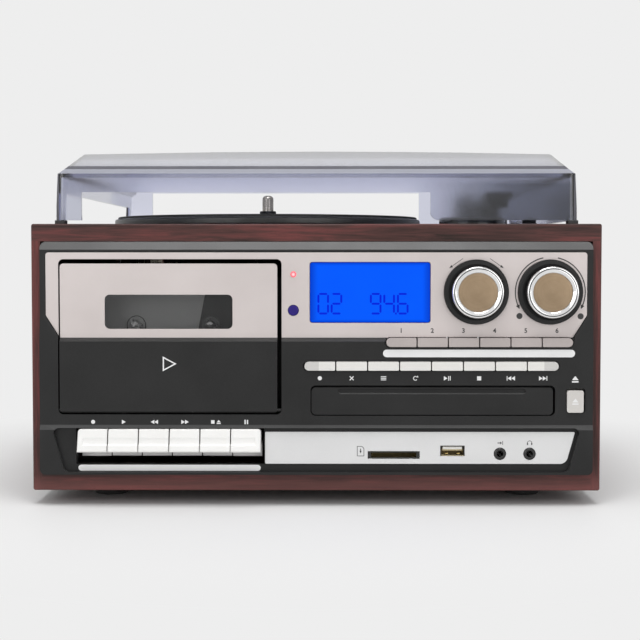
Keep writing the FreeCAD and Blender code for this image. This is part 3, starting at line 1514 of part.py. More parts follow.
def make_tonearm():
    tip, tail = "front + arm_tip_behind", "arm_y + arm_tail"
    shell_end = f"{tip} + shell_length"
    tube = rod("ArmTube", "y", "arm_x", (f"{shell_end} - shell_overlap", tail), "arm_z", "arm_tube_radius")
    half = "yoke_span / 2 - yoke_gap"
    block = box("ArmBlock", (f"arm_x - ({half})", f"arm_x + {half}"),
                ("arm_y - arm_block_length / 2", "arm_y + arm_block_length / 2"),
                ("arm_z - arm_block_height / 2", "arm_z + arm_block_height / 2"))
    pin_half = "yoke_span / 2 + yoke_ear"
    pin = rod("ArmPin", "x", (f"arm_x - ({pin_half})", f"arm_x + {pin_half}"), "arm_y", "arm_z",
              "arm_pin_radius")
    weight = rod("ArmWeight", "y", "arm_x", (f"{tail} - weight_length", tail), "arm_z", "weight_radius")
    shell = box("HeadShell", ("arm_x - shell_width / 2", "arm_x + shell_width / 2"), (tip, shell_end),
                ("arm_z - shell_thickness / 2", "arm_z + shell_thickness / 2"))
    node(fused("tonearm", tube, block, pin, weight, shell), "tonearm")
    under = "arm_z - shell_thickness / 2"
    start = f"{tip} + shell_overlap"
    pick_up = box("PickUp", ("arm_x - cartridge_width / 2", "arm_x + cartridge_width / 2"),
                  (start, f"{start} + cartridge_length"), (f"{under} - cartridge_height", under))
    stylus = DOC.addObject("Part::Cone", "Stylus")
    bind(stylus, Radius1="stylus_tip_radius", Radius2="stylus_radius", Height="stylus_drop")
    place(stylus, "arm_x", f"{start} + stylus_radius + shell_overlap",
          f"{under} - cartridge_height - stylus_drop")
    return node(fused("cartridge", pick_up, stylus), "cartridge")


# Dust cover

def lid_side_form(inset, drop):
    """Lid seen from the side: front wall, brow, slope, roof and back wall."""
    body = new_body("LidSide")
    brow = "lid_front + lid_ledge + lid_riser_run"
    profile = polygon((f"lid_front + {inset}", f"lid_bottom - {drop}"),
                      (f"lid_back - {inset}", f"lid_bottom - {drop}"),
                      (f"lid_back - {inset}", f"lid_top - lid_rear_chamfer - {inset}"),
                      (f"lid_back - lid_rear_chamfer - {inset}", f"lid_top - {inset}"),
                      (f"{brow} + lid_slope_length + {inset}", f"lid_top - {inset}"),
                      (f"{brow} + {inset}", f"lid_brow - {inset}"),
                      (f"lid_front + lid_ledge + {inset}", f"lid_shoulder - {inset}"),
                      (f"lid_front + {inset}", f"lid_shoulder - {inset}"))
    pad(body, "YZ", [profile], "-lid_half - overrun", "lid_half + overrun")
    return body


def lid_front_form(inset, drop):
    """Lid seen from the front: drafted walls, ledge and crowned roof."""
    body = new_body("LidFront")
    foot, shoulder = f"lid_half - {inset}", f"lid_half - lid_draft - {inset}"
    brow = f"{shoulder} - lid_ledge - lid_riser_run"
    eave, eave_z = f"{brow} - lid_hump_draft", f"lid_top - lid_crown - {inset}"
    profile = bowed(4, "lid_crown", (f"-({foot})", f"lid_bottom - {drop}"), (foot, f"lid_bottom - {drop}"),
                    (shoulder, f"lid_shoulder - {inset}"), (brow, f"lid_brow - {inset}"),
                    (eave, eave_z), (f"-({eave})", eave_z), (f"-({brow})", f"lid_brow - {inset}"),
                    (f"-({shoulder})", f"lid_shoulder - {inset}"))
    pad(body, "XZ", [profile], "lid_front - overrun", "lid_back + overrun")
    return body


def lid_plan_form(inset, drop):
    """Lid seen from above, with rounded corners."""
    body = new_body("LidPlan")
    outline = rounded(f"-(lid_half - {inset})", f"lid_half - {inset}", f"lid_front + {inset}",
                      f"lid_back - {inset}", f"(lid_corner_radius - {inset})")
    pad(body, "XY", [outline], f"lid_bottom - {drop}", "lid_top")
    return body


def lid_shell():
    forms = []
    for inset, drop in (("0", "0"), ("lid_wall", "overrun")):
        form = DOC.addObject("Part::MultiCommon", "LidForm")
        form.Shapes = [make(inset, drop) for make in (lid_side_form, lid_front_form, lid_plan_form)]
        forms.append(form)
    return cut("LidShell", *forms)


def lid_cutouts():
    """Gaps in the front, left and rear walls that a large record passes."""
    under = "lid_bottom - overrun"
    low = (under, "lid_bottom + cut_height")
    end = "lid_half - front_cut_right"
    span = ("lid_front - overrun", "lid_front + cut_reach")
    front = new_body("FrontCut")
    pad(front, "XZ", [rect("-lid_half + front_cut_left", end, *low)], *span)
    pad(front, "XZ", [rect(end, f"{end} + cut_corner_radius", under, "lid_bottom + cut_corner_radius")],
        *span)
    pocket(front, "XZ", [circle(f"{end} + cut_corner_radius", "lid_bottom + cut_corner_radius",
                                "cut_corner_radius")], *span)
    left = box("LeftCut", ("-lid_half - overrun", "-lid_half + cut_reach"),
               ("lid_front + side_cut_front", "lid_back - side_cut_rear"), low)
    rear = box("RearCut", ("-lid_half + rear_cut_left", "lid_half - rear_cut_right"),
               ("lid_back - cut_reach", "lid_back + overrun"), (under, "lid_bottom + rear_cut_height"))
    return [front, left, rear]


def make_dust_cover():
    pieces = [cut("LidOpened", lid_shell(), *lid_cutouts())]
    bores = []
    for x in ("-lid_hinge_x", "lid_hinge_x"):
        span = (f"{x} - hinge_knuckle_width / 2", f"{x} + hinge_knuckle_width / 2")
        pieces.append(rod("Knuckle", "x", span, "lid_hinge_y", "lid_hinge_z", "hinge_knuckle_radius"))
        pieces.append(box("KnuckleWeb", span, ("lid_back - lid_wall", "lid_hinge_y"),
                          ("lid_hinge_z - hinge_pin_radius", "lid_hinge_z + hinge_pin_radius")))
        bores.append(rod("KnuckleBore", "x", (f"{x} - overrun", f"{x} + overrun"), "lid_hinge_y",
                         "lid_hinge_z", "hinge_pin_radius + running_fit"))
    return node(cut("dust_cover", fused("LidBody", *pieces), *bores), "dust_cover")


def make_lid_hinges():
    """Two brackets on the cabinet top, each with two ears and a pin."""
    brackets = []
    reach = "hinge_knuckle_width / 2 + hinge_gap"
    for x in ("-lid_hinge_x", "lid_hinge_x"):
        outer = f"({reach} + hinge_ear)"
        near, far = "lid_hinge_y - hinge_ear_radius", "lid_hinge_y + hinge_ear_radius"
        pieces = [box("HingeBase", (f"{x} - {outer}", f"{x} + {outer}"), (near, far),
                      ("deck", "deck + hinge_base_height")),
                  rod("HingePin", "x", (f"{x} - {outer}", f"{x} + {outer}"), "lid_hinge_y",
                      "lid_hinge_z", "hinge_pin_radius")]
        for span in ((f"{x} - {outer}", f"{x} - ({reach})"), (f"{x} + {reach}", f"{x} + {outer}")):
            pieces.append(rod("HingeEar", "x", span, "lid_hinge_y", "lid_hinge_z", "hinge_ear_radius"))
            pieces.append(box("HingePost", span, (near, far), ("deck", "lid_hinge_z")))
        brackets.append(fused("Hinge", *pieces))
    return group("lid_hinges", *brackets)


def make_lid_pads():
    pads = []
    for x in ("-lid_half", "lid_half - pad_width"):
        pads.append(box("LidPad", (x, f"{x} + pad_width"), ("lid_front", "lid_front + pad_length"),
                        ("deck", "lid_bottom")))
    return group("lid_pads", *pads)


# Build, check and write

def build():
    make_cabinet()
    make_rear_cover()
    make_feet()
    make_front_fascia()
    make_upper_trim_plate()
    make_lower_trim_plate()
    make_display()
    make_lens("power_led", "led_rise", "led_radius", "led_proud")
    make_lens("remote_sensor_window", "sensor_rise", "sensor_radius", "sensor_proud")
    node(make_socket("card_socket", "card_x", "card_z", "card_width", "card_height",
                     "card_mouth_width", "card_mouth_height", "card_depth"), "card_socket")
    make_usb_socket()
    make_audio_jacks()
    make_speakers()
    make_main_board()
    make_cassette_door()
    make_cassette_window()
    make_cassette_chassis()
    for label, x in REELS.items():
        make_reel(label, x)
    for number, label in enumerate(KEYS, 1):
        make_key(label, number)
    make_cd_tray()
    make_cd_drive()
    make_row("function_button", "function_left", "function_pitch", "function_bottom",
             COUNTS["function_buttons"])
    make_row("cd_button", "cd_row_left", "cd_pitch", "cd_row_bottom", COUNTS["cd_buttons"])
    make_eject_button()
    for stem, x in DIALS.items():
        make_dial(stem, x)
    make_deck_plate()
    make_speed_switch()
    make_platter()
    make_platter_drive()
    make_tonearm_yoke()
    make_tonearm()
    make_dust_cover()
    make_lid_hinges()
    make_lid_pads()
    DOC.recompute()


def check():
    for thing in DOC.Objects:
        if {"Invalid", "Error"} & set(thing.State):
            raise RuntimeError(f"{thing.Name} {thing.Label} failed: {thing.State}")
    for thing in NODES:
        if thing.Shape.isNull() or not thing.Shape.isValid() or not thing.Shape.Solids:
            raise RuntimeError(f"{thing.Label} has no valid solid")


def write():
    os.makedirs("parts", exist_ok=True)
    for thing in NODES:
        thing.Shape.exportStep(f"parts/{thing.Label}.step")
        print(thing.Label, len(thing.Shape.Solids), round(thing.Shape.Volume))


build()
check()
write()
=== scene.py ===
"""Looks of a table-top music centre: a record deck under a smoked lid, a cassette recorder, a disc
tray, a tuner with two dials and a strip of sockets. Lengths are in millimetres and MM turns them
into metres. The front faces -Y and the floor is at zero."""

import json
import math
import bpy
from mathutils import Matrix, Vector

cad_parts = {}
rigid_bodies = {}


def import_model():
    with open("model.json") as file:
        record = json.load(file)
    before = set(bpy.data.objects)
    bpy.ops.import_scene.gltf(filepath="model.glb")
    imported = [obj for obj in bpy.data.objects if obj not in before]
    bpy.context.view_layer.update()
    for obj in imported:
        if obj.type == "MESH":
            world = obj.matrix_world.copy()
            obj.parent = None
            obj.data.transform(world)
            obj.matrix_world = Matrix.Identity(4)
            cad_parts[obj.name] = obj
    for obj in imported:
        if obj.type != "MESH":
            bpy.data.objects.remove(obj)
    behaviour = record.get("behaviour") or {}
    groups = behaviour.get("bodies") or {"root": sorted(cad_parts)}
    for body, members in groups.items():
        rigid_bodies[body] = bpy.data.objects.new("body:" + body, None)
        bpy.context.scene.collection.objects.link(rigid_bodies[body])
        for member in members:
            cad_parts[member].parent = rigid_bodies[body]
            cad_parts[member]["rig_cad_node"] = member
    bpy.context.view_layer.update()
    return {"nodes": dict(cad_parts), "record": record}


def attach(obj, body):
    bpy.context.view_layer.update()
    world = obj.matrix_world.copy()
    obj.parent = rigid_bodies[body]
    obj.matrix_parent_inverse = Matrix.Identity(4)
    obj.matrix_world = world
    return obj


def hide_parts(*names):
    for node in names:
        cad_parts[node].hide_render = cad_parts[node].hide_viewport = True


bpy.ops.object.select_all(action="SELECT")
bpy.ops.object.delete()
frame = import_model()

MM = 0.001
SLOT_OF = {row["node"]: row["material_slot"] for row in frame["record"]["subparts"]}
BODY_OF = {node: body for body, nodes in frame["record"]["behaviour"]["bodies"].items()
           for node in nodes}

# Places taken from the solids, and the thickness of a print.
DIAL_Z = 118.45
TUNING_X, VOLUME_X = 88.15, 128.75
PLATE_FACE, STRIP_FACE, LOWER_FACE, RECESS_FACE = -148.5, -149.5, -151.0, -148.7
GLASS_FACE = -147.8
SPLIT_Z = 93.3
INK = 0.06
KEYS = ("record_key", "play_key", "rewind_key", "fast_forward_key", "stop_eject_key", "pause_key")
KEY_LEFT, KEY_PITCH = -131.35, 16.9
CD_LEFT, CD_PITCH = -6.65, 17.51
FUNCTION_LEFT, FUNCTION_PITCH = 38.3, 17.14
SPINDLE = (-32.0, -18.5)
LED_X, LED_Z = -12.5, 128.15


# Shaping. Angles are in degrees; points nearer than a merge length, in metres, become one.

BEVEL_ANGLE, SMOOTH_ANGLE, TURNED_ANGLE, FLAT_ANGLE = 28, 40, 35, 0.6
SOLID_MERGE, TURNED_MERGE = 2e-6, 1e-6


def clear_bench():
    """Leaves edit mode and deselects everything."""
    if bpy.context.mode != "OBJECT":
        bpy.ops.object.mode_set(mode="OBJECT")
    bpy.ops.object.select_all(action="DESELECT")


def take(*pieces):
    """Selects these pieces alone; the first is the active one."""
    clear_bench()
    for piece in pieces:
        piece.select_set(True)
    bpy.context.view_layer.objects.active = pieces[0]


def named(name):
    """Names the piece just added and puts its place into its mesh."""
    piece = bpy.context.object
    piece.name = piece.data.name = name
    bpy.ops.object.transform_apply(location=True, rotation=True, scale=True)
    return piece


def open_all(piece):
    """Goes into edit mode with the whole mesh selected, point by point."""
    take(piece)
    bpy.context.tool_settings.mesh_select_mode = (True, False, False)
    bpy.ops.object.mode_set(mode="EDIT")
    bpy.ops.mesh.select_all(action="SELECT")


def close():
    """Leaves edit mode."""
    bpy.ops.object.mode_set(mode="OBJECT")


def applied(piece, kind, **settings):
    """Adds a modifier with these settings and applies it."""
    take(piece)
    modifier = piece.modifiers.new(kind.lower(), kind)
    for setting, value in settings.items():
        setattr(modifier, setting, value)
    bpy.ops.object.modifier_apply(modifier=modifier.name)


def eased(piece, width):
    """Rounds the edges of a hard piece and evens its shading."""
    if width:
        applied(piece, "BEVEL", width=width * MM, segments=2, limit_method="ANGLE",
                angle_limit=math.radians(BEVEL_ANGLE), use_clamp_overlap=True,
                miter_outer="MITER_ARC")
    take(piece)
    bpy.ops.object.shade_smooth_by_angle(angle=math.radians(SMOOTH_ANGLE))
    applied(piece, "WEIGHTED_NORMAL", keep_sharp=True, weight=80)
    return piece


def block(name, low, high, width=0.2):
    """A squared piece between two corners, with eased edges."""
    low, high = Vector(low) * MM, Vector(high) * MM
    clear_bench()
    bpy.ops.mesh.primitive_cube_add(size=1, location=(low + high) / 2, scale=high - low)
    return eased(named(name), width)


def drawn(name, walk):
    """Draws a line of points, one pulled out of the last, and leaves it selected in edit mode."""
    clear_bench()
    bpy.ops.mesh.primitive_plane_add(size=MM)
    piece = named(name)
    open_all(piece)
    bpy.ops.mesh.merge(type="CENTER")
    bpy.ops.transform.translate(value=walk[0])
    for here, there in zip(walk, walk[1:]):
        bpy.ops.mesh.extrude_vertices_move(TRANSFORM_OT_translate={"value": there - here})
    bpy.ops.mesh.select_all(action="SELECT")
    return piece


def traced(name, outline, back, front):
    """A flat piece: an outline of (x, z) points filled and pulled from one depth to another."""
    piece = drawn(name, [Vector((x, back, z)) * MM for x, z in outline])
    bpy.ops.mesh.edge_face_add()
    bpy.ops.mesh.extrude_region_move(TRANSFORM_OT_translate={"value": (0, (front - back) * MM, 0)})
    bpy.ops.mesh.select_all(action="SELECT")
    bpy.ops.mesh.normals_make_consistent(inside=False)
    close()
    return piece


def turned(name, profile, axis, centre, steps=72):
    """Spins a profile of (radius, along) points about a line through a centre, along Y or Z."""
    if axis == "Y":
        walk = [Vector((centre[0] + radius, along, centre[1])) * MM for radius, along in profile]
        middle, line = Vector((centre[0], 0, centre[1])) * MM, (0, 1, 0)
    else:
        walk = [Vector((centre[0] + radius, centre[1], along)) * MM for radius, along in profile]
        middle, line = Vector((centre[0], centre[1], 0)) * MM, (0, 0, 1)
    piece = drawn(name, walk)
    bpy.ops.mesh.spin(steps=steps, angle=math.tau, center=middle, axis=line)
    bpy.ops.mesh.select_all(action="SELECT")
    bpy.ops.mesh.remove_doubles(threshold=TURNED_MERGE)
    bpy.ops.mesh.normals_make_consistent(inside=False)
    close()
    take(piece)
    bpy.ops.object.shade_smooth_by_angle(angle=math.radians(TURNED_ANGLE))
    return piece


def joined(name, pieces):
    """Makes one piece of several."""
    take(*pieces)
    if len(pieces) > 1:
        bpy.ops.object.join()
    return named(name)


def copied(piece, name, shift):
    """A copy of a piece with its own mesh, moved by a step."""
    take(piece)
    bpy.ops.object.duplicate()
    bpy.ops.transform.translate(value=Vector(shift) * MM)
    return named(name)


def set_on(piece, body, slot, finish, *nodes):
    """Gives a piece its body and finish and hides the nodes that it stands for; the slot is not
    used.
    """
    piece.data.materials.clear()
    piece.data.materials.append(finish)
    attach(piece, body)
    if nodes:
        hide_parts(*nodes)
    return piece


def painted(piece, finish, wanted):
    """Gives the faces that pass a test a second finish."""
    piece.data.materials.append(finish)
    for face in piece.data.polygons:
        if wanted(face.center / MM, face.normal):
            face.material_index = len(piece.data.materials) - 1


def softened(solid, width, finish=None, cuts=()):
    """A copy of a solid with its edges rounded, which stands for it; cuts are planes that divide its
    faces."""
    take(frame["nodes"][solid])
    bpy.ops.object.duplicate()
    piece = bpy.context.object
    piece.name = piece.data.name = solid + "_finished"
    del piece["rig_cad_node"]
    open_all(piece)
    bpy.ops.mesh.remove_doubles(threshold=SOLID_MERGE)
    bpy.ops.mesh.dissolve_limited(angle_limit=math.radians(FLAT_ANGLE))
    for through, way in cuts:
        bpy.ops.mesh.select_all(action="SELECT")
        bpy.ops.mesh.bisect(plane_co=Vector(through) * MM, plane_no=way)
    close()
    eased(piece, width)
    slot = SLOT_OF[solid]
    return set_on(piece, BODY_OF[solid], slot, finish or FINISH[slot], solid)


def arc(radius, start, stop, steps=24):
    """Points along part of a circle, between two angles in degrees."""
    turn = [math.radians(start + (stop - start) * i / steps) for i in range(steps + 1)]
    return [(radius * math.cos(a), radius * math.sin(a)) for a in turn]


def moved(outline, place):
    """An outline carried to a place."""
    return [(place[0] + x, place[1] + z) for x, z in outline]


def pill(left, right, low, high):
    """The outline of a bar with round ends."""
    radius = (high - low) / 2
    middle = (high + low) / 2
    return (moved(arc(radius, -90, 90, 10), (right - radius, middle))
            + moved(arc(radius, 90, 270, 10), (left + radius, middle)))


# Finishes. Most of a noise lies between its low and high values here.

TONE_SOCKETS = (("Low tone", "Color"), ("High tone", "Color"),
                ("Low roughness", "Float"), ("High roughness", "Float"))
FINISH_SOCKETS = (("Color", "Color"), ("Roughness", "Float"), ("Height", "Float"))
NOISE_LOW, NOISE_HIGH = 0.3, 0.7
GRAIN_STRENGTH = 0.5


def node(tree, kind, given=None, **settings):
    """Adds a node with these settings; its inputs are linked, or set to the plain value given."""
    made = tree.nodes.new("ShaderNode" + kind)
    for setting, value in settings.items():
        setattr(made, setting, value)
    for socket, source in (given or {}).items():
        if isinstance(source, bpy.types.NodeSocket):
            tree.links.new(source, made.inputs[socket])
        else:
            made.inputs[socket].default_value = source
    return made


def maths(tree, operation, first, second=0.0):
    """The result of a sum on one or two numbers."""
    return node(tree, "Math", {0: first, 1: second}, operation=operation).outputs[0]


def vectors(tree, operation, first, second=(0, 0, 0)):
    """The result of a sum on one or two vectors."""
    made = node(tree, "VectorMath", {0: first, 1: second}, operation=operation)
    return made.outputs["Value" if operation == "LENGTH" else 0]


def ranged(tree, value, start, stop, low=0.0, high=1.0, kind="LINEAR"):
    """A value carried from one range to another and held at its ends."""
    given = {"Value": value, "From Min": start, "From Max": stop, "To Min": low, "To Max": high}
    return node(tree, "MapRange", given, interpolation_type=kind).outputs[0]


def noise(tree, place, scale, detail=2.0, **more):
    """Soft noise over a place."""
    given = {"Vector": place, "Scale": scale, "Detail": detail, **more}
    return node(tree, "TexNoise", given).outputs["Fac"]


def mixed(tree, factor, low, high):
    """Mixes two colours by a factor."""
    return node(tree, "Mix", {0: factor, 6: low, 7: high}, data_type="RGBA").outputs[2]


def relief(tree, shader, height, strength, depth):
    """Bumps a finish by a height; its depth is in millimetres."""
    bump = node(tree, "Bump", {"Height": height, "Strength": strength, "Distance": depth * MM})
    tree.links.new(bump.outputs["Normal"], shader.inputs["Normal"])


def tuned(shader, **sockets):
    """Sets plain values on a shader; underscores stand for the spaces in the names."""
    for socket, value in sockets.items():
        shader.inputs[socket.replace("_", " ")].default_value = value


def shader_group(name, pitch):
    """An empty node group for a finish from a place, a pitch, two tones and two roughnesses."""
    group = bpy.data.node_groups.new(name, "ShaderNodeTree")
    for label, kind in (("Place", "Vector"), (pitch, "Float"), *TONE_SOCKETS):
        group.interface.new_socket(label, in_out="INPUT", socket_type="NodeSocket" + kind)
    for label, kind in FINISH_SOCKETS:
        group.interface.new_socket(label, in_out="OUTPUT", socket_type="NodeSocket" + kind)
    given, put = group.nodes.new("NodeGroupInput"), group.nodes.new("NodeGroupOutput")
    return group, given.outputs, put.inputs


def toned(group, given, put, share, wear, height):
    """Feeds what a group gives out: colour by a share, roughness by a wear, and a height."""
    rough = ranged(group, wear, NOISE_LOW, NOISE_HIGH, given["Low roughness"],
                   given["High roughness"])
    group.links.new(mixed(group, share, given["Low tone"], given["High tone"]), put["Color"])
    group.links.new(rough, put["Roughness"])
    group.links.new(height, put["Height"])
    return group


def grain_group():
    """Fine moulded or painted grain over broad, faint changes of tone."""
    group, given, put = shader_group("moulded_grain", "Grain")
    fine = noise(group, given["Place"], given["Grain"], 3.0)
    broad = noise(group, given["Place"], 34.0, 5.0)
    share = ranged(group, maths(group, "ADD", fine, broad), 0.7, 1.3)
    return toned(group, given, put, share, broad, fine)


def rings_group():
    """Fine rings round the Z axis of the place given, as a lathe leaves them."""
    group, given, put = shader_group("turned_rings", "Rings")
    reach = vectors(group, "LENGTH", vectors(group, "MULTIPLY", given["Place"], (1, 1, 0)))
    count = maths(group, "MULTIPLY", reach, given["Rings"])
    ring = node(group, "TexNoise", {"W": count, "Scale": 1.0, "Detail": 2.0},
                noise_dimensions="1D").outputs["Fac"]
    cloud = noise(group, given["Place"], 160.0, 3.0)
    share = ranged(group, maths(group, "ADD", ring, cloud), 0.65, 1.35)
    return toned(group, given, put, share, ring, ring)


GRAIN = grain_group()
RINGS = rings_group()


def blank(name):
    """A new material with its shader and Object coordinates."""
    finish = bpy.data.materials.new(name)
    finish.use_nodes = True
    tree = finish.node_tree
    return finish, tree, tree.nodes["Principled BSDF"], node(tree, "TexCoord").outputs["Object"]


def textured(name, group, pitch, tones, rough, depth, centre=None, upright=False, **sockets):
    """A finish from one of the groups; depth is the relief of its grain in millimetres."""
    finish, tree, shader, place = blank(name)
    if centre:
        turn = (0, 0, 0) if upright else (math.radians(90), 0, 0)
        place = vectors(tree, "SUBTRACT", place, Vector(centre) * MM)
        place = node(tree, "Mapping", {"Vector": place, "Rotation": turn}).outputs[0]
    given = {"Place": place, 1: pitch, "Low tone": (*tones[0], 1), "High tone": (*tones[1], 1),
             "Low roughness": rough[0], "High roughness": rough[1]}
    made = node(tree, "Group", given, node_tree=group)
    tree.links.new(made.outputs["Color"], shader.inputs["Base Color"])
    tree.links.new(made.outputs["Roughness"], shader.inputs["Roughness"])
    if depth:
        relief(tree, shader, made.outputs["Height"], GRAIN_STRENGTH, depth)
    tuned(shader, **sockets)
    return finish


# Where the wood print turns upright, its stretch along and across the grain, and the painted light
# on its foot.
WOOD_SIDE, WOOD_TOP = 152.4, 146.5
GRAIN_LEVEL, GRAIN_UPRIGHT, GRAIN_BANDS = (26, 430, 430), (430, 430, 26), (0.30, 0.16, 0.16)
WOOD_STOPS = ((0.38, (0.022, 0.014, 0.012, 1)), (0.62, (0.165, 0.046, 0.044, 1)))
WOOD_MIDDLE = (0.50, (0.072, 0.031, 0.028, 1))
PALE_START, PALE_FULL, PALE_BACK, PALE_FRONT, PAINTED_LIGHT_SHARE = 17, 9, -144.4, -145.4, 0.45
PAINTED_LIGHT_WOOD = (0.235, 0.088, 0.080, 1)


def wood_vinyl():
    """Printed wood grain: long streaks, along the top and front and up the sides, with painted light
    that makes the foot of the front paler."""
    finish, tree, shader, place = blank("wood_vinyl")
    parts = node(tree, "SeparateXYZ", {0: place}).outputs
    beyond = maths(tree, "GREATER_THAN", maths(tree, "ABSOLUTE", parts["X"]), WOOD_SIDE * MM)
    below = maths(tree, "LESS_THAN", parts["Z"], WOOD_TOP * MM)
    side = maths(tree, "MULTIPLY", beyond, below)
    level = vectors(tree, "MULTIPLY", place, GRAIN_LEVEL)
    upright = vectors(tree, "MULTIPLY", place, GRAIN_UPRIGHT)
    way = node(tree, "Mix", {0: side, 4: level, 5: upright}, data_type="VECTOR").outputs[1]
    streak = noise(tree, way, 1.0, 9.0, Roughness=0.70, Distortion=0.5)
    band = noise(tree, vectors(tree, "MULTIPLY", way, GRAIN_BANDS), 1.0, 3.0)
    half = maths(tree, "MULTIPLY", maths(tree, "ADD", streak, band), 0.5)
    ramp = node(tree, "ValToRGB", {"Fac": half})
    stops = ramp.color_ramp.elements
    for stop, (position, tone) in zip(stops, WOOD_STOPS):
        stop.position, stop.color = position, tone
    stops.new(WOOD_MIDDLE[0]).color = WOOD_MIDDLE[1]
    # Painted light: the foot of the front is paler.
    low = ranged(tree, parts["Z"], PALE_START * MM, PALE_FULL * MM)
    ahead = ranged(tree, parts["Y"], PALE_BACK * MM, PALE_FRONT * MM, high=PAINTED_LIGHT_SHARE)
    tone = mixed(tree, maths(tree, "MULTIPLY", low, ahead), ramp.outputs["Color"], PAINTED_LIGHT_WOOD)
    tree.links.new(tone, shader.inputs["Base Color"])
    rough = ranged(tree, streak, NOISE_LOW, NOISE_HIGH, 0.34, 0.48)
    tree.links.new(rough, shader.inputs["Roughness"])
    tuned(shader, Specular_IOR_Level=0.2)
    relief(tree, shader, streak, 0.25, 0.08)
    return finish


# The lit panel in each direction: its middle, half its size and the margin where it darkens.
PANEL = (("X", 29.75, 33.1, 5.0), ("Z", 118.2, 16.6, 2.2))


def lit_display():
    """A back-lit panel, a little brighter in its middle, with a fine dot pitch."""
    finish, tree, shader, place = blank("blue_display")
    parts = node(tree, "SeparateXYZ", {0: place}).outputs
    edges = []
    for way, middle, half, margin in PANEL:
        far = maths(tree, "ABSOLUTE", maths(tree, "SUBTRACT", parts[way], middle * MM))
        edges.append(ranged(tree, far, (half - margin) * MM, half * MM, kind="SMOOTHSTEP"))
    lit = mixed(tree, noise(tree, place, 60.0), (0.0, 0.100, 1.0, 1), (0.0, 0.085, 0.97, 1))
    glow = mixed(tree, maths(tree, "MAXIMUM", *edges), lit, (0.0, 0.042, 0.62, 1))
    tree.links.new(glow, shader.inputs["Emission Color"])
    dots = mixed(tree, noise(tree, place, 1500.0), (0.0, 0.01, 0.05, 1), (0.0, 0.02, 0.08, 1))
    tree.links.new(dots, shader.inputs["Base Color"])
    tuned(shader, Emission_Strength=0.95, Roughness=0.25, Specular_IOR_Level=0.05)
    return finish


# Where the lid's painted shade begins and where it is full, and the share that its left end has.
SHADE_RIGHT, SHADE_LEFT, SHADE_FRONT, SHADE_UNDER = (45, 112), (-104, -126), (-110, -130), (188, 178)
LEFT_SHARE = 0.3


def acrylic(name, tone, tone_high, roughness, clear=1.0, soak=None, shade=None, index=1.49):
    """Clear tinted plastic with faint waves from its mould; soak is what its thickness takes away,
    and shade is painted shade, darker at the right of a front wall and, fainter, at its left."""
    finish, tree, shader, place = blank(name)
    tint_and_shade = mixed(tree, noise(tree, place, 9.0), (*tone, 1), (*tone_high, 1))
    # Painted shade: the front wall darkens towards its right end and, fainter, towards its left end.
    if shade:
        parts = node(tree, "SeparateXYZ", {0: place}).outputs
        right = ranged(tree, parts["X"], SHADE_RIGHT[0] * MM, SHADE_RIGHT[1] * MM, kind="SMOOTHSTEP")
        left = ranged(tree, parts["X"], SHADE_LEFT[0] * MM, SHADE_LEFT[1] * MM, high=LEFT_SHARE)
        front = ranged(tree, parts["Y"], SHADE_FRONT[0] * MM, SHADE_FRONT[1] * MM)
        under = ranged(tree, parts["Z"], SHADE_UNDER[0] * MM, SHADE_UNDER[1] * MM)
        share = maths(tree, "MULTIPLY", maths(tree, "MAXIMUM", right, left), front)
        tint_and_shade = mixed(tree, maths(tree, "MULTIPLY", share, under), tint_and_shade, (*shade, 1))
    tree.links.new(tint_and_shade, shader.inputs["Base Color"])
    relief(tree, shader, noise(tree, place, 30.0, 1.0), 0.08, 0.3)
    tuned(shader, Roughness=roughness, IOR=index, Transmission_Weight=clear)
    if soak:
        volume = node(tree, "VolumeAbsorption", {"Color": (*soak[0], 1), "Density": soak[1]})
        tree.links.new(volume.outputs[0], tree.nodes["Material Output"].inputs["Volume"])
        tuned(shader, Coat_Weight=0.45, Coat_Roughness=0.04)
    return finish


LENS_CORE, LENS_RIM = 0.2, 1.3


def lit_lens():
    """A lamp's lens, lit from behind: nearly white in its middle and red at its rim."""
    finish = textured("red_lens", GRAIN, 900, ((0.7, 0.05, 0.06), (0.8, 0.09, 0.1)), (0.12, 0.2), 0,
                      Emission_Strength=1.0)
    tree = finish.node_tree
    place = node(tree, "TexCoord").outputs["Object"]
    off = vectors(tree, "SUBTRACT", place, Vector((LED_X, 0, LED_Z)) * MM)
    reach = vectors(tree, "LENGTH", vectors(tree, "MULTIPLY", off, (1, 0, 1)))
    rim = ranged(tree, reach, LENS_CORE * MM, LENS_RIM * MM)
    glow = mixed(tree, rim, (1.0, 0.72, 0.74, 1), (1.0, 0.10, 0.14, 1))
    tree.links.new(glow, tree.nodes["Principled BSDF"].inputs["Emission Color"])
    return finish


def same(level):
    """A grey."""
    return (level, level, level)


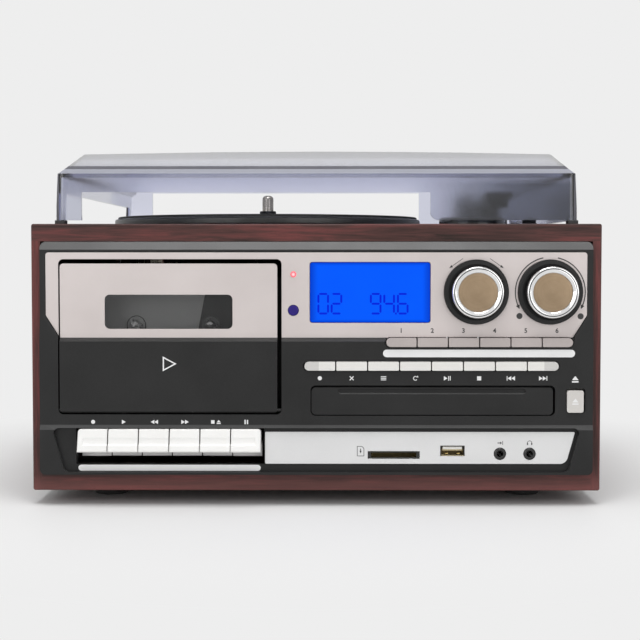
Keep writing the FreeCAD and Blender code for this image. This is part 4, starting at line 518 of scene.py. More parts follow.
FINISH = {
    "wood_vinyl": wood_vinyl(),
    "black_plastic": textured("black_plastic", GRAIN, 2600, (same(0.012), same(0.019)), (0.38, 0.50),
                              0.06, Specular_IOR_Level=0.24),
    "silver_plate": textured("silver_plate", GRAIN, 5200,
                             ((0.555, 0.502, 0.488), (0.612, 0.558, 0.544)), (0.36, 0.44), 0.02,
                             Metallic=0.35),
    "blue_display": lit_display(),
    "red_lens": lit_lens(),
    "dark_lens": textured("dark_lens", GRAIN, 300, ((0.02, 0.012, 0.15), (0.03, 0.016, 0.19)),
                          (0.10, 0.16), 0, Specular_IOR_Level=0.2),
    "clear_window": acrylic("clear_window", same(0.86), same(0.90), 0.03, index=1.3),
    "socket_metal": textured("socket_metal", GRAIN, 900, ((0.40, 0.34, 0.20), (0.52, 0.45, 0.29)),
                             (0.25, 0.4), 0.01, Metallic=1.0),
    "jack_black": textured("jack_black", GRAIN, 1500, (same(0.012), same(0.02)), (0.18, 0.3), 0.01),
    "speaker_paper": textured("speaker_paper", GRAIN, 700, (same(0.016), same(0.035)), (0.7, 0.9),
                              0.15),
    "circuit_board": textured("circuit_board", GRAIN, 500, ((0.02, 0.09, 0.03), (0.04, 0.14, 0.05)),
                              (0.35, 0.5), 0.03),
    "key_white": textured("key_white", GRAIN, 2200, ((0.775, 0.77, 0.75), (0.82, 0.815, 0.80)),
                          (0.20, 0.28), 0.01, Coat_Weight=0.3),
    "button_silver": textured("button_silver", GRAIN, 4200,
                              ((0.41, 0.367, 0.353), (0.465, 0.417, 0.403)), (0.30, 0.38), 0.015,
                              Metallic=0.25),
    "chrome": textured("chrome", GRAIN, 240, (same(0.80), same(0.88)), (0.08, 0.13), 0,
                       Metallic=1.0),
    "bronze": textured("bronze", GRAIN, 1600, ((0.42, 0.30, 0.19), (0.50, 0.37, 0.24)), (0.42, 0.52),
                       0.02, Metallic=0.6),
    "platter_metal": textured("platter_metal", RINGS, 900, (same(0.03), same(0.055)), (0.3, 0.42),
                              0.02, centre=(*SPINDLE, 0), upright=True, Metallic=0.4),
    "steel": textured("steel", RINGS, 2500, ((0.36, 0.335, 0.28), (0.46, 0.43, 0.37)), (0.18, 0.28),
                      0.01, centre=(*SPINDLE, 0), upright=True, Metallic=1.0),
    "arm_metal": textured("arm_metal", GRAIN, 3000, (same(0.05), same(0.08)), (0.26, 0.36), 0.01,
                          Metallic=0.7),
    "rubber": textured("rubber", GRAIN, 1800, (same(0.02), same(0.034)), (0.6, 0.78), 0.08),
    # The lid's last tone is the painted shade on its front wall.
    "smoked_acrylic": acrylic("smoked_acrylic", (0.89, 0.90, 0.97), (0.93, 0.935, 1.0), 0.17, 1.0,
                              ((0.06, 0.11, 0.43), 94.0), (0.21, 0.225, 0.27)),
}
STRIP_SILVER = textured("strip_silver", GRAIN, 5200, (same(0.665), same(0.72)), (0.34, 0.42), 0.015,
                        Metallic=0.2)
CREAM = textured("cd_button_cream", GRAIN, 4200, ((0.70, 0.69, 0.66), (0.77, 0.76, 0.725)),
                 (0.28, 0.36), 0.015, Metallic=0.1)
END_GREY = textured("cd_button_end", GRAIN, 4200, ((0.55, 0.54, 0.52), (0.60, 0.59, 0.57)),
                    (0.28, 0.36), 0.015)
EJECT_CREAM = textured("eject_cream", GRAIN, 4200, ((0.56, 0.54, 0.515), (0.62, 0.60, 0.57)),
                       (0.28, 0.36), 0.015)
# Painted shade: a grey for the key's lower lip, which lies in shadow under the key.
KEY_TAB_PAINTED_SHADE = textured("key_tab_painted_shade", GRAIN, 2200, (same(0.62), same(0.68)), (0.32, 0.42), 0.01)
WHITE_INK = textured("white_ink", GRAIN, 3000, (same(0.74), same(0.80)), (0.45, 0.55), 0.005)
BLACK_INK = textured("black_ink", GRAIN, 3000, (same(0.02), same(0.035)), (0.45, 0.55), 0.005)
SEGMENT_BLUE = textured("segment_blue", GRAIN, 1500, ((0.0, 0.004, 0.10), (0.0, 0.008, 0.15)),
                        (0.4, 0.5), 0, Specular_IOR_Level=0.05, Emission_Color=(0.0, 0.012, 0.66, 1),
                        Emission_Strength=0.9)
GOLD = textured("contact_gold", GRAIN, 900, ((0.60, 0.44, 0.16), (0.70, 0.53, 0.22)), (0.2, 0.3), 0,
                Metallic=1.0)
# Painted light: the lid's riser gets a paler, less clear finish for the light band across it.
LID_STEP_PAINTED_LIGHT = acrylic("lid_step_painted_light", (0.46, 0.47, 0.54), (0.50, 0.51, 0.58), 0.4, 0.3)
# Painted shade: dark lines for the lid's brow and front corners.
LID_PAINTED_SHADE = textured("lid_painted_shade_line", GRAIN, 900, ((0.14, 0.14, 0.16), (0.18, 0.18, 0.20)),
                    (0.5, 0.6), 0, Specular_IOR_Level=0.0)
# Painted light: the grey of the plate seen through the cassette window.
GUIDE_PAINTED_LIGHT = textured("guide_painted_light", GRAIN, 1200, (same(0.26), same(0.30)), (0.4, 0.5), 0.01)
# Painted highlight for the upper rims of the reel spindle tips.
REEL_PAINTED_HIGHLIGHT = textured("reel_painted_highlight", GRAIN, 1200, (same(0.52), same(0.60)), (0.15, 0.22), 0.01)
# Painted light: a lighter black for upward faces that catch the top lamp.
BEVEL_PAINTED_LIGHT = textured("bevel_painted_light", GRAIN, 2600, (same(0.027), same(0.037)), (0.36, 0.46), 0.04)
# Painted light: a lighter black for sloping faces lit from above.
SLOPE_PAINTED_LIGHT = textured("slope_painted_light", GRAIN, 2600, (same(0.030), same(0.040)), (0.38, 0.50), 0.06)
# White print, made brighter as painted light against the keys' shadow over it.
RAIL_INK_PAINTED_LIGHT = textured("rail_ink_painted_light", GRAIN, 3000, (same(0.90), same(0.93)), (0.45, 0.55), 0.005)
REEL_BLACK = textured("reel_black", GRAIN, 1200, (same(0.03), same(0.04)), (0.35, 0.45), 0.01)
GLOSS_BLACK = textured("gloss_black", GRAIN, 1200, (same(0.010), same(0.016)), (0.16, 0.24), 0.01)

for name, solid in frame["nodes"].items():
    solid.data.materials.clear()
    solid.data.materials.append(FINISH[SLOT_OF[name]])


# Hard pieces that keep the solid's form, with eased edges. A second finish goes to the faces that a
# test picks by their middle and by the way they look.

OPENING_BACK, OPENING_LOW, OPENING_HIGH, OPENING_HALF = -138.0, 16.9, 147.0, 153.2
DOOR_LEFT, DOOR_RIGHT, DOOR_TOP, DOOR_BACK = -143.5, -19.0, 137.0, -147.0
BEVEL_FOOT, APRON_TOP, APRON_BACK = 138.0, 52.0, -149.0
GLASS_BACK = -147.0
TRAY_EDGE_LOW, TRAY_EDGE_HIGH = 62.0, 63.5
STEP_LOW, STEP_HIGH, BROW_LOW, BROW_TOP = 184.7, 186.3, 186.5, 189.1
LID_SIDE, LID_SIDE_TOP = 143.9, 184.0
TAB_TOP = 29.6
CD_END = 8.2


def in_opening_shadow(at, out):
    """The cabinet's inner edge round the fascia, painted black as the shadow in the gap."""
    return (at.y < OPENING_BACK and out.y > -0.95 and OPENING_LOW < at.z < OPENING_HIGH
            and abs(at.x) < OPENING_HALF)


def painted_lid_shade(at, out):
    """The lid's painted shade: dark lines over its brow and down its front corners."""
    return (BROW_LOW < at.z < BROW_TOP and out.z > 0.4
            or abs(at.x) > LID_SIDE and at.z < LID_SIDE_TOP and out.y < -0.5)


cabinet = softened("cabinet", 0.9)
# Painted shadow: the cabinet's inner edge is black, for the shade in the gap round the fascia.
painted(cabinet, FINISH["black_plastic"], in_opening_shadow)
softened("rear_cover", 0.5)
softened("feet", 0.8)
fascia = softened("front_fascia", 0.35)
# Painted light on the fascia's top bevel.
painted(fascia, BEVEL_PAINTED_LIGHT, lambda at, out: out.z > 0.25 and at.z > BEVEL_FOOT)
# Painted light on the upward slopes of the fascia's apron.
painted(fascia, SLOPE_PAINTED_LIGHT,
        lambda at, out: 0.08 < out.z < 0.98 and at.z < APRON_TOP and at.y < APRON_BACK)
plate = softened("upper_trim_plate", 0.18)
painted(plate, FINISH["black_plastic"],
        lambda at, out: abs(out.y) < 0.6 and DOOR_LEFT < at.x < DOOR_RIGHT and at.z < DOOR_TOP)
display = softened("display", 0.25)
painted(display, FINISH["black_plastic"], lambda at, out: out.y > -0.6 or at.y > GLASS_BACK)
softened("lower_trim_plate", 0.18, STRIP_SILVER)
door = softened("cassette_door", 0.35)
painted(door, FINISH["silver_plate"], lambda at, out: at.z > SPLIT_Z + 0.2 and at.y < DOOR_BACK)
tray = softened("cd_tray", 0.35)
# Painted light on the lower edge of the tray's scoop.
painted(tray, SLOPE_PAINTED_LIGHT,
        lambda at, out: out.z > 0.3 and TRAY_EDGE_LOW < at.z < TRAY_EDGE_HIGH and at.y < APRON_BACK)
lid = softened("dust_cover", 0.45, cuts=(((0, 0, BROW_TOP), (0, 0, 1)),
                                         ((LID_SIDE, 0, 0), (1, 0, 0)),
                                         ((-LID_SIDE, 0, 0), (1, 0, 0))))
# Painted light on the lid's riser.
painted(lid, LID_STEP_PAINTED_LIGHT, lambda at, out: STEP_LOW < at.z < STEP_HIGH and out.z > -0.2 and out.y < 0.5)
# Painted shade on the lid's brow and front corners.
painted(lid, LID_PAINTED_SHADE, painted_lid_shade)
for name, width in (("lid_pads", 0.3), ("lid_hinges", 0.3), ("deck_plate", 0.5), ("platter", 0.5),
                    ("tonearm", 0.4), ("tonearm_yoke", 0.4), ("cartridge", 0.3),
                    ("speed_switch", 0.4)):
    softened(name, width)
# Painted shade on each key's lower lip.
for key in KEYS:
    painted(softened(key, 0.35), KEY_TAB_PAINTED_SHADE, lambda at, out: at.z < TAB_TOP)
for i in range(1, 7):
    softened(f"function_button_{i}", 0.35)
cd_ends = {1: CD_LEFT + CD_END, 8: CD_LEFT + 8 * CD_PITCH - CD_END}
for i in range(1, 9):
    cuts = [((cd_ends[i], 0, 0), (1, 0, 0))] if i in cd_ends else ()
    button = softened(f"cd_button_{i}", 0.35, CREAM, cuts=cuts)
    if cuts:
        painted(button, END_GREY, lambda at, out: at.x < cd_ends[1] or at.x > cd_ends[8])
softened("eject_button", 0.4, EJECT_CREAM)


# Dials: a turned chrome ring with a groove that is darkened as painted shade, and a spun cap.

KNOB_PROFILE = (
    (0, -136.5), (3, -136.5), (3, -146.5), (13.2, -146.5), (13.9, -147.0), (14.1, -147.8),
    (14.1, -158.3), (14.0, -158.8), (13.75, -159.2), (13.4, -159.4), (13.15, -159.38),
    (13.0, -158.8), (12.8, -158.8), (12.65, -159.42), (12.4, -159.5), (12.1, -159.42),
    (10.9, -158.7), (10.75, -158.1), (0, -158.1))
CAP_PROFILE = ((0, -158.05), (10.65, -158.05), (10.65, -158.5), (10.5, -158.68), (10.2, -158.76),
               (0, -158.7))
CAP_TONES = ((0.26, 0.185, 0.112), (0.33, 0.24, 0.152))
GROOVE_IN, GROOVE_OUT, GROOVE_FACE = 12.7, 13.1, -158.0
FINE_STEPS, PIN_STEPS = 96, 48


def painted_groove_shade(x):
    """A test for the faces in the groove of the dial at this place, which take a dark finish as
    painted shade.
    """
    return lambda at, out: (GROOVE_IN < math.hypot(at.x - x, at.z - DIAL_Z) < GROOVE_OUT
                            and at.y < GROOVE_FACE)


for dial, x in (("tuning", TUNING_X), ("volume", VOLUME_X)):
    knob = turned(dial + "_knob_turned", KNOB_PROFILE, "Y", (x, DIAL_Z), FINE_STEPS)
    set_on(knob, BODY_OF[dial + "_knob"], "chrome", FINISH["chrome"], dial + "_knob")
    # Painted shade: the groove of the ring takes a dark finish.
    painted(knob, FINISH["arm_metal"], painted_groove_shade(x))
    cap = turned(dial + "_cap_spun", CAP_PROFILE, "Y", (x, DIAL_Z), FINE_STEPS)
    spun = textured(dial + "_spun_bronze", RINGS, 2600, CAP_TONES, (0.40, 0.52), 0.02,
                    centre=(x, 0, DIAL_Z), Metallic=0.6)
    set_on(cap, BODY_OF[dial + "_knob_cap"], "bronze", spun, dial + "_knob_cap")


# Deck: a ribbed mat, a spindle with a domed tip and a rubber collar, and a disc for single records.

MAT_FOOT, MAT_TOP, RIB_FOOT, MAT_HOLE, MAT_RADIUS = 161.0, 162.4, 162.05, 4.3, 95.0
FIRST_RIB, LAST_RIB, RIB_PITCH = 10.0, 91.0, 4.5
SPINDLE_PROFILE = ((0, 132), (4.2, 132), (4.2, 161.9), (3.55, 162.2), (3.55, 174.2), (3.35, 175.2),
                   (2.7, 176.05), (1.6, 176.55), (0, 176.7))
COLLAR_PROFILE = ((3.6, 162.3), (5.2, 162.5), (5.2, 166.2), (4.8, 166.7), (3.6, 166.7), (3.6, 162.3))
ADAPTER, DECK_TOP = (89.7, -107.5), 156.0
ADAPTER_RISES = ((3.7, 0.0), (3.7, 3.6), (4.1, 4.0), (8.2, 4.0), (8.8, 3.3), (13.6, 3.1),
                 (14.2, 3.9), (17.9, 4.1), (18.7, 3.8), (19.0, 3.2), (19.0, 0.5), (18.6, 0.0),
                 (3.7, 0.0))

mat_profile = [(MAT_HOLE, MAT_FOOT), (MAT_HOLE, 162.2), (8.0, MAT_TOP)]
radius = FIRST_RIB
while radius < LAST_RIB:
    mat_profile += [(radius, MAT_TOP), (radius + 0.5, RIB_FOOT), (radius + 2.4, RIB_FOOT),
                    (radius + 2.9, MAT_TOP)]
    radius += RIB_PITCH
mat_profile += [(94.4, MAT_TOP), (MAT_RADIUS, 162.1), (MAT_RADIUS, MAT_FOOT), (MAT_HOLE, MAT_FOOT)]
mat = turned("platter_mat_ribbed", mat_profile, "Z", SPINDLE, FINE_STEPS)
set_on(mat, BODY_OF["platter_mat"], "rubber", FINISH["rubber"], "platter_mat")
spindle = turned("record_spindle_domed", SPINDLE_PROFILE, "Z", SPINDLE, PIN_STEPS)
set_on(spindle, BODY_OF["record_spindle"], "steel", FINISH["steel"], "record_spindle")
collar = turned("spindle_collar", COLLAR_PROFILE, "Z", SPINDLE, PIN_STEPS)
set_on(collar, BODY_OF["record_spindle"], "rubber", FINISH["rubber"])
adapter_profile = [(radius, DECK_TOP + rise) for radius, rise in ADAPTER_RISES]
adapter = turned("single_adapter", adapter_profile, "Z", ADAPTER)
set_on(adapter, BODY_OF["deck_plate"], "black_plastic", GLOSS_BLACK)


# Finger lift at the side of the arm's head.

LIFT_OUTLINE = ((115.2, 173.4), (118.6, 173.5), (122.4, 175.4), (122.0, 176.1), (118.3, 174.3),
                (115.2, 174.2))
LIFT_BACK, LIFT_FRONT = -74.5, -79.5
lift = traced("finger_lift", LIFT_OUTLINE, LIFT_BACK, LIFT_FRONT)
set_on(eased(lift, 0.2), BODY_OF["tonearm"], SLOT_OF["tonearm"], FINISH["arm_metal"])


# Screws of the rear cover: a domed head with a cross recess, modelled once and copied.

COVER_BACK = 157.5
SCREW_PLACES = [(x, z) for x in (-137.0, 0.0, 137.0) for z in (25.0, 139.0)]
SCREW_RISES = ((0, -0.05), (3.1, -0.05), (3.1, 0.3), (2.6, 0.95), (1.5, 1.3), (0, 1.4))
CROSS_LONG, CROSS_THIN, CROSS_FLOOR, CROSS_END = 1.7, 0.35, 0.5, 2.0
x, z = SCREW_PLACES[0]
screw_profile = [(radius, COVER_BACK + rise) for radius, rise in SCREW_RISES]
screw = turned("cover_screw", screw_profile, "Y", (x, z), 40)
for across, up in ((CROSS_LONG, CROSS_THIN), (CROSS_THIN, CROSS_LONG)):
    cutter = block("cross_cutter", (x - across, COVER_BACK + CROSS_FLOOR, z - up),
                   (x + across, COVER_BACK + CROSS_END, z + up), 0)
    applied(screw, "BOOLEAN", object=cutter, operation="DIFFERENCE", solver="EXACT")
    take(cutter)
    bpy.ops.object.delete()
eased(screw, 0)
screws = [screw] + [copied(screw, "cover_screw", (right - x, 0, high - z))
                    for right, high in SCREW_PLACES[1:]]
set_on(joined("rear_cover_screws", screws), BODY_OF["rear_cover"], "steel", FINISH["arm_metal"])


# Sockets: dark mouths with a tongue and contacts inside.

MOUTH_BACK, USB_FOOT, USB_X = -149.2, 28.4, 75.32
TONGUE_HALF, TONGUE_Y, TONGUE_Z = 5.4, (-148.9, -142.0), (31.6, 33.1)
CONTACT_X, CONTACT_Y, CONTACT_Z, CONTACT_STEP = (-3.95, -2.45), (-148.4, -144.0), (29.0, 29.5), 6.4
card = softened("card_socket", 0.15)
painted(card, GLOSS_BLACK, lambda at, out: at.y < MOUTH_BACK)
usb = softened("usb_socket", 0.15)
painted(usb, GLOSS_BLACK, lambda at, out: at.y < MOUTH_BACK and at.z > USB_FOOT)
tongue = block("usb_tongue", (USB_X - TONGUE_HALF, TONGUE_Y[0], TONGUE_Z[0]),
               (USB_X + TONGUE_HALF, TONGUE_Y[1], TONGUE_Z[1]))
set_on(tongue, "cabinet_body", "socket_metal", CREAM)
contact = block("usb_contact", (USB_X + CONTACT_X[0], CONTACT_Y[0], CONTACT_Z[0]),
                (USB_X + CONTACT_X[1], CONTACT_Y[1], CONTACT_Z[1]), 0.1)
contacts = [contact, copied(contact, "usb_contact_right", (CONTACT_STEP, 0, 0))]
set_on(joined("usb_contacts", contacts), "cabinet_body", "socket_metal", GOLD)


# Tape well: a grey guide plate behind the window, with a slanted end and a notch for the supply
# spindle; its grey and slanted end paint the light and shade seen through the window, and the supply
# spindle shares its grey. A painted highlight lies on the upper rim of each reel spindle's tip.

SUPPLY, NOTCH_RADIUS = (-102.5, 99.0), 5.4
GUIDE_LEFT, GUIDE_RIGHT, GUIDE_TIP = -124.0, -68.5, -62.0
GUIDE_FOOT, GUIDE_TOP, GUIDE_BACK, GUIDE_FRONT = 90.0, 124.0, -122.0, -122.6
REEL_RIM = -131.3

notch = moved(arc(NOTCH_RADIUS, 180, 0), SUPPLY)
guide_outline = [(GUIDE_LEFT, GUIDE_FOOT), (notch[0][0], GUIDE_FOOT), *notch,
                 (notch[-1][0], GUIDE_FOOT), (GUIDE_RIGHT, GUIDE_FOOT), (GUIDE_TIP, GUIDE_TOP),
                 (GUIDE_LEFT, GUIDE_TOP)]
guide = traced("tape_guide", guide_outline, GUIDE_BACK, GUIDE_FRONT)
set_on(eased(guide, 0.15), "cabinet_body", "black_plastic", GUIDE_PAINTED_LIGHT)
# The supply spindle takes the plate's painted light; the take-up spindle stays dark.
for reel, finish in (("supply_spindle", GUIDE_PAINTED_LIGHT), ("takeup_spindle", REEL_BLACK)):
    spool = softened(reel, 0.5, finish)
    # Painted highlight on the upper rim of the spindle's tip.
    painted(spool, REEL_PAINTED_HIGHLIGHT,
            lambda at, out: at.y < REEL_RIM and -0.9 < out.y < -0.1 and out.z > 0.3)


# Prints: thin ink on the front and the deck. All are plain symbols or numbers.

def inked(outline, face, name="ink"):
    """A thin print of an outline on a front face."""
    return traced(name, outline, face + INK / 2, face - INK / 2)


def boxed(left, right, low, high):
    """The outline of a rectangle."""
    return [(left, low), (right, low), (right, high), (left, high)]


def ringed(outer, inner):
    """The outline of a band between two outlines."""
    return outer + outer[:1] + inner[:1] + inner[::-1]


def pointing(edge, tip, half=0.5):
    """A triangle from an upright edge to a tip."""
    return [(edge, half), (edge, -half), (tip, 0)]


# The outlines of each sign, which is about one unit high.
SYMBOLS = {
    "record": [arc(0.46, 0, 345, 23)],
    "play": [pointing(-0.42, 0.48)],
    "rewind": [pointing(0.0, -0.85), pointing(0.85, 0.0)],
    "forward": [pointing(-0.85, 0.0), pointing(0.0, 0.85)],
    "stop_eject": [boxed(-1.05, -0.25, -0.4, 0.4), boxed(0.25, 1.15, -0.45, -0.2),
                   [(0.25, -0.08), (1.15, -0.08), (0.7, 0.48)]],
    "pause": [boxed(-0.42, -0.12, -0.5, 0.5), boxed(0.12, 0.42, -0.5, 0.5)],
    "play_pause": [pointing(-0.75, 0.05), boxed(0.2, 0.38, -0.5, 0.5), boxed(0.55, 0.73, -0.5, 0.5)],
    "stop": [boxed(-0.45, 0.45, -0.45, 0.45)],
    "previous": [boxed(-0.95, -0.78, -0.5, 0.5), pointing(0.05, -0.75), pointing(0.87, 0.07)],
    "next": [pointing(-0.87, -0.07), pointing(-0.05, 0.75), boxed(0.78, 0.95, -0.5, 0.5)],
    "cross": [[(-0.5, 0.36), (-0.36, 0.5), (0, 0.14), (0.36, 0.5), (0.5, 0.36), (0.14, 0),
               (0.5, -0.36), (0.36, -0.5), (0, -0.14), (-0.36, -0.5), (-0.5, -0.36), (-0.14, 0)]],
    "list": [boxed(-0.6, 0.6, 0.26, 0.44), boxed(-0.6, 0.6, -0.09, 0.09),
             boxed(-0.6, 0.6, -0.44, -0.26)],
    "loop": [arc(0.5, 40, 320, 20) + arc(0.34, 320, 40, 20), [(0.2, 0.2), (0.66, 0.2), (0.5, 0.62)]],
    "eject": [boxed(-0.5, 0.5, -0.5, -0.28), [(-0.5, -0.12), (0.5, -0.12), (0, 0.5)]],
}
NUMBER_WEIGHT = 0.09


def stamped(symbol, x, z, size, face):
    """The ink pieces of one symbol, at a place on a front face."""
    return [inked(moved([(px * size, pz * size) for px, pz in outline], (x, z)), face)
            for outline in SYMBOLS[symbol]]


def numbered(words, place, size, lean=90):
    """A plain number in ink, upright on the front or flat on the deck."""
    clear_bench()
    bpy.ops.object.text_add()
    text = bpy.context.object
    text.data.body = words
    text.data.size = size * MM
    text.data.align_x, text.data.align_y = "CENTER", "CENTER"
    text.data.extrude = INK / 2 * MM
    text.data.resolution_u = 4
    text.data.offset = NUMBER_WEIGHT * MM
    bpy.ops.object.convert(target="MESH")
    piece = bpy.context.object
    piece.rotation_euler = (math.radians(lean), 0, 0)
    piece.location = Vector(place) * MM
    return named("ink")


KEY_RAIL, FUNCTION_RAIL = (-131.6, -30.6, 19.45, 22.85), (36.8, 142.2, 82.7, 86.9)
CD_SIGNS = ("record", "cross", "list", "loop", "play_pause", "stop", "previous", "next")
KEY_SIGNS = ("record", "play", "rewind", "forward", "stop_eject", "pause")
CD_SIGN_Z, CD_SIGN_SIZE, KEY_SIGN_Z, KEY_SIGN_SIZE = 71.1, 2.5, 46.9, 2.4
NUMBER_Z, NUMBER_SIZE = 97.1, 3.5
EJECT_SIGN, EJECT_SIGN_SIZE = (142.4, 70.6), 3.6
EJECT_MARK, EJECT_MARK_SIZE, EJECT_FACE = (142.4, 58.4), 3.4, -152.3
SPEED_X, SPEED_PLACES, SPEED_SIZE = 133.6, (("33", -83.5), ("45", -76.5)), 3.4
DOOR_MARK = (-80.7, 79.0)

# The key rail's print, brightened as painted light where the keys shade it.
rail = inked(pill(*KEY_RAIL), RECESS_FACE, "key_rail_print")
set_on(rail, "cabinet_body", "key_white", RAIL_INK_PAINTED_LIGHT)
white = [inked(pill(*FUNCTION_RAIL), LOWER_FACE)]
for i, sign in enumerate(CD_SIGNS):
    white += stamped(sign, CD_LEFT + CD_PITCH * (i + 0.5), CD_SIGN_Z, CD_SIGN_SIZE, LOWER_FACE)
for i, sign in enumerate(KEY_SIGNS):
    white += stamped(sign, KEY_LEFT + KEY_PITCH * (i + 0.5), KEY_SIGN_Z, KEY_SIGN_SIZE, LOWER_FACE)
white += stamped("eject", *EJECT_SIGN, EJECT_SIGN_SIZE, LOWER_FACE)
set_on(joined("front_white_prints", white), "cabinet_body", "key_white", WHITE_INK)

eject_ink = stamped("eject", *EJECT_MARK, EJECT_MARK_SIZE, EJECT_FACE)
set_on(joined("eject_print", eject_ink), BODY_OF["eject_button"], "key_white", WHITE_INK)

speeds = [numbered(speed, (SPEED_X, y, DECK_TOP), SPEED_SIZE, 0) for speed, y in SPEED_PLACES]
set_on(joined("speed_prints", speeds), BODY_OF["deck_plate"], "key_white", WHITE_INK)

arrow_line = ringed([(-3.6, 4.1), (-3.6, -4.1), (4.0, 0)], [(-2.9, 2.95), (-2.9, -2.95), (2.6, 0)])
door_ink = [inked(moved(arrow_line, DOOR_MARK), LOWER_FACE)]
set_on(joined("door_white_print", door_ink), BODY_OF["cassette_door"], "key_white", WHITE_INK)

# On the silver plates: numbers, two bent arrows with dots for the volume, two straight ones for the
# tuning, and signs for the sockets.
ARC_RADIUS, ARC_WIDTH, DOT_REACH, DOT_RADIUS = 19.5, 0.62, 21.4, 1.7
ARROW_START, ARROW_STOP, ARROW_HALF = (7.4, 136.9), (13.8, 132.4), 0.14
CARD_MARK, LINE_MARK, PHONES_MARK = (24.6, 30.6), (101.52, 35.2), (117.82, 35.2)

black = []
for i in range(6):
    place = (FUNCTION_LEFT + FUNCTION_PITCH * (i + 0.5), PLATE_FACE, NUMBER_Z)
    black.append(numbered(str(i + 1), place, NUMBER_SIZE))
hub = Vector((VOLUME_X, DIAL_Z))
for start, stop, dot_turn in ((102, 204, 218), (78, -24, -38.5)):
    band = arc(ARC_RADIUS, start, stop) + arc(ARC_RADIUS - ARC_WIDTH, stop, start)
    black.append(inked(moved(band, (VOLUME_X, DIAL_Z)), PLATE_FACE))
    tip = math.radians(stop)
    way = Vector((math.cos(tip), math.sin(tip)))
    on = way.orthogonal() if stop > 90 else -way.orthogonal()
    at = hub + way * (ARC_RADIUS - ARC_WIDTH / 2)
    head = [at + way * 1.1 - on * 0.6, at - way * 1.1 - on * 0.6, at + on * 1.7]
    black.append(inked(head, PLATE_FACE))
    turn = math.radians(dot_turn)
    dot = hub + Vector((math.cos(turn), math.sin(turn))) * DOT_REACH
    black.append(inked(moved(arc(DOT_RADIUS, 0, 345, 23), dot), PLATE_FACE))
for side in (-1, 1):
    start = Vector((TUNING_X + side * ARROW_START[0], ARROW_START[1]))
    stop = Vector((TUNING_X + side * ARROW_STOP[0], ARROW_STOP[1]))
    way = (stop - start).normalized()
    on = way.orthogonal()
    edge = on * ARROW_HALF
    line = [start + edge, start - edge, stop - edge, stop + edge]
    head = [stop + on * 0.75 - way * 0.6, stop - on * 0.75 - way * 0.6, stop + way * 1.5]
    black += [inked(outline, PLATE_FACE) for outline in (line, head)]
card_line = [(-2.0, -2.8), (2.0, -2.8), (2.0, 1.6), (0.8, 2.8), (-2.0, 2.8)]
marks = ((CARD_MARK, ringed(card_line, [(x * 0.84, z * 0.89) for x, z in card_line])),
         (CARD_MARK, [(-0.6, 0.2), (0.6, 0.2), (0, -1.3)]),
         (CARD_MARK, boxed(-0.22, 0.22, 0.2, 1.4)),
         (LINE_MARK, [(-1.4, -0.25), (0.1, -0.25), (0.1, -0.8), (1.1, 0), (0.1, 0.8), (0.1, 0.25),
                      (-1.4, 0.25)]),
         (LINE_MARK, boxed(1.3, 1.6, -1.1, 1.1)),
         (PHONES_MARK, arc(1.35, 0, 180, 16) + arc(1.05, 180, 0, 16)),
         (PHONES_MARK, boxed(-1.5, -0.85, -1.1, 0.1)),
         (PHONES_MARK, boxed(0.85, 1.5, -1.1, 0.1)))
black += [inked(moved(outline, place), STRIP_FACE) for place, outline in marks]
set_on(joined("plate_black_prints", black), "cabinet_body", "black_plastic", BLACK_INK)


# Display digits: seven straight segments each, two made-up numbers.

SEGMENTS = {"0": "abcdef", "2": "abged", "9": "abcdfg", "4": "fgbc", "6": "afgedc"}
DIGIT_WIDTH, DIGIT_HEIGHT, SEGMENT_WIDTH, SEGMENT_GAP = 5.3, 10.8, 1.1, 0.3
DIGITS, DIGIT_FOOT = (("0", 1.3), ("2", 8.6), ("9", 30.2), ("4", 37.6), ("6", 45.1)), 106.6
POINT_X, POINT_HALF = 44.0, 0.5


def segment(which, x, z):
    """One segment of a digit whose lower left corner is given."""
    half, gap = SEGMENT_WIDTH / 2, SEGMENT_GAP
    level = {"a": DIGIT_HEIGHT, "g": DIGIT_HEIGHT / 2, "d": 0}
    if which in level:
        low, high, across = gap, DIGIT_WIDTH - gap, level[which]
        shape = [(low, across), (low + half, across + half), (high - half, across + half),
                 (high, across), (high - half, across - half), (low + half, across - half)]
    else:
        along = 0 if which in "ef" else DIGIT_WIDTH
        base = 0 if which in "ec" else DIGIT_HEIGHT / 2
        low, high = base + gap, base + DIGIT_HEIGHT / 2 - gap
        shape = [(along, low), (along + half, low + half), (along + half, high - half),
                 (along, high), (along - half, high - half), (along - half, low + half)]
    return inked(moved(shape, (x, z)), GLASS_FACE)


digits = [segment(which, x, DIGIT_FOOT) for digit, x in DIGITS for which in SEGMENTS[digit]]
point = boxed(-POINT_HALF, POINT_HALF, -POINT_HALF, POINT_HALF)
digits.append(inked(moved(point, (POINT_X, DIGIT_FOOT)), GLASS_FACE))
set_on(joined("display_digits", digits), "cabinet_body", "blue_display", SEGMENT_BLUE)


# Stage, light and camera. The floor fades into paper of one even tone away from the object.

FLOOR_SIZE = 30.0
PAPER, FADE_START, FADE_STOP = 0.855, 0.18, 0.38
FILL, FILL_STRENGTH = 0.9, 0.37
LAMPS = (("top_box", (0.0, -0.6, 1.5), (0, 0, 0.1), 0.9, 15.6),
         ("front_left_box", (-1.0, -1.5, 0.5), (0, -0.1, 0.1), 1.0, 5.4),
         ("front_right_box", (1.0, -1.5, 0.5), (0, -0.1, 0.1), 1.0, 5.4))
FOCAL_SHARE, SENSOR = 1411 / 640, 36.0
CAMERA_PLACE, CAMERA_DIP, CAMERA_TURN = (7.31, -924.55, 139.38), 2.68, 0.0066


def seen_rays(tree):
    """One for the rays that can show paper: straight, mirrored and through clear pieces."""
    rays = node(tree, "LightPath").outputs
    seen = maths(tree, "MAXIMUM", rays["Is Camera Ray"], rays["Is Glossy Ray"])
    return maths(tree, "MAXIMUM", seen, rays["Is Transmission Ray"])


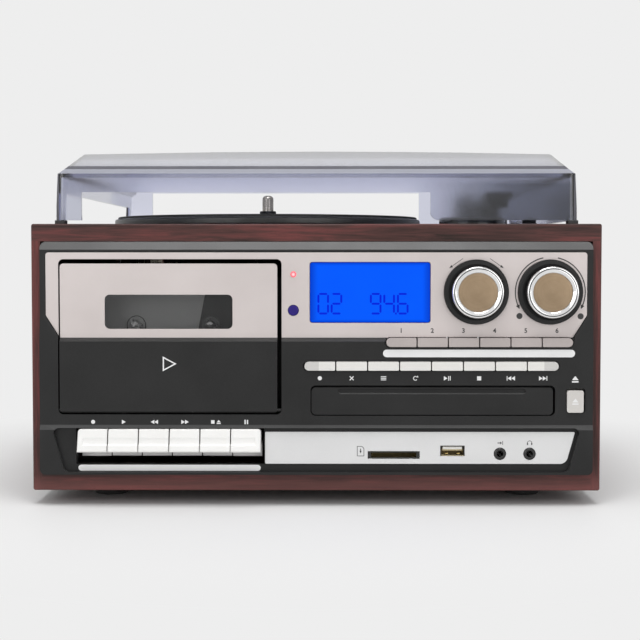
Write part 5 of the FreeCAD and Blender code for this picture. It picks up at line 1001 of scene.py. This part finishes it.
def soft_light(name, place, aim, size, power):
    """A square soft lamp that looks at a point."""
    lamp = bpy.data.lights.new(name, "AREA")
    lamp.size = size
    lamp.energy = power
    holder = bpy.data.objects.new(name, lamp)
    holder.location = place
    holder.rotation_euler = (Vector(aim) - Vector(place)).to_track_quat("-Z", "Y").to_euler()
    bpy.context.scene.collection.objects.link(holder)


clear_bench()
bpy.ops.mesh.primitive_plane_add(size=FLOOR_SIZE)
floor = named("floor")
finish, tree, shader, place = blank("pale_floor")
tone = mixed(tree, noise(tree, place, 3.0), (*same(0.87), 1), (*same(0.90), 1))
tree.links.new(tone, shader.inputs["Base Color"])
tuned(shader, Roughness=0.6)
paper = node(tree, "Emission", {"Color": (*same(PAPER), 1), "Strength": 1.0})
far = ranged(tree, vectors(tree, "LENGTH", place), FADE_START, FADE_STOP, kind="SMOOTHSTEP")
share = maths(tree, "MULTIPLY", seen_rays(tree), far)
blend = node(tree, "MixShader", {0: share, 1: shader.outputs[0], 2: paper.outputs[0]})
tree.links.new(blend.outputs[0], tree.nodes["Material Output"].inputs["Surface"])
floor.data.materials.append(finish)

world = bpy.data.worlds.new("studio")
bpy.context.scene.world = world
world.use_nodes = True
tree = world.node_tree
tree.nodes.clear()
fill = node(tree, "Background", {"Color": (*same(FILL), 1), "Strength": FILL_STRENGTH})
paper = node(tree, "Background", {"Color": (*same(PAPER), 1), "Strength": 1.0})
blend = node(tree, "MixShader", {0: seen_rays(tree), 1: fill.outputs[0], 2: paper.outputs[0]})
node(tree, "OutputWorld", {0: blend.outputs[0]})

for lamp in LAMPS:
    soft_light(*lamp)

lens = bpy.data.cameras.new("camera")
lens.sensor_width = SENSOR
lens.lens = SENSOR * FOCAL_SHARE
camera = bpy.data.objects.new("camera", lens)
camera.location = Vector(CAMERA_PLACE) * MM
camera.rotation_euler = (math.radians(90 - CAMERA_DIP), 0, CAMERA_TURN)
bpy.context.scene.collection.objects.link(camera)
bpy.context.scene.camera = camera
bpy.context.scene.view_settings.view_transform = "Standard"
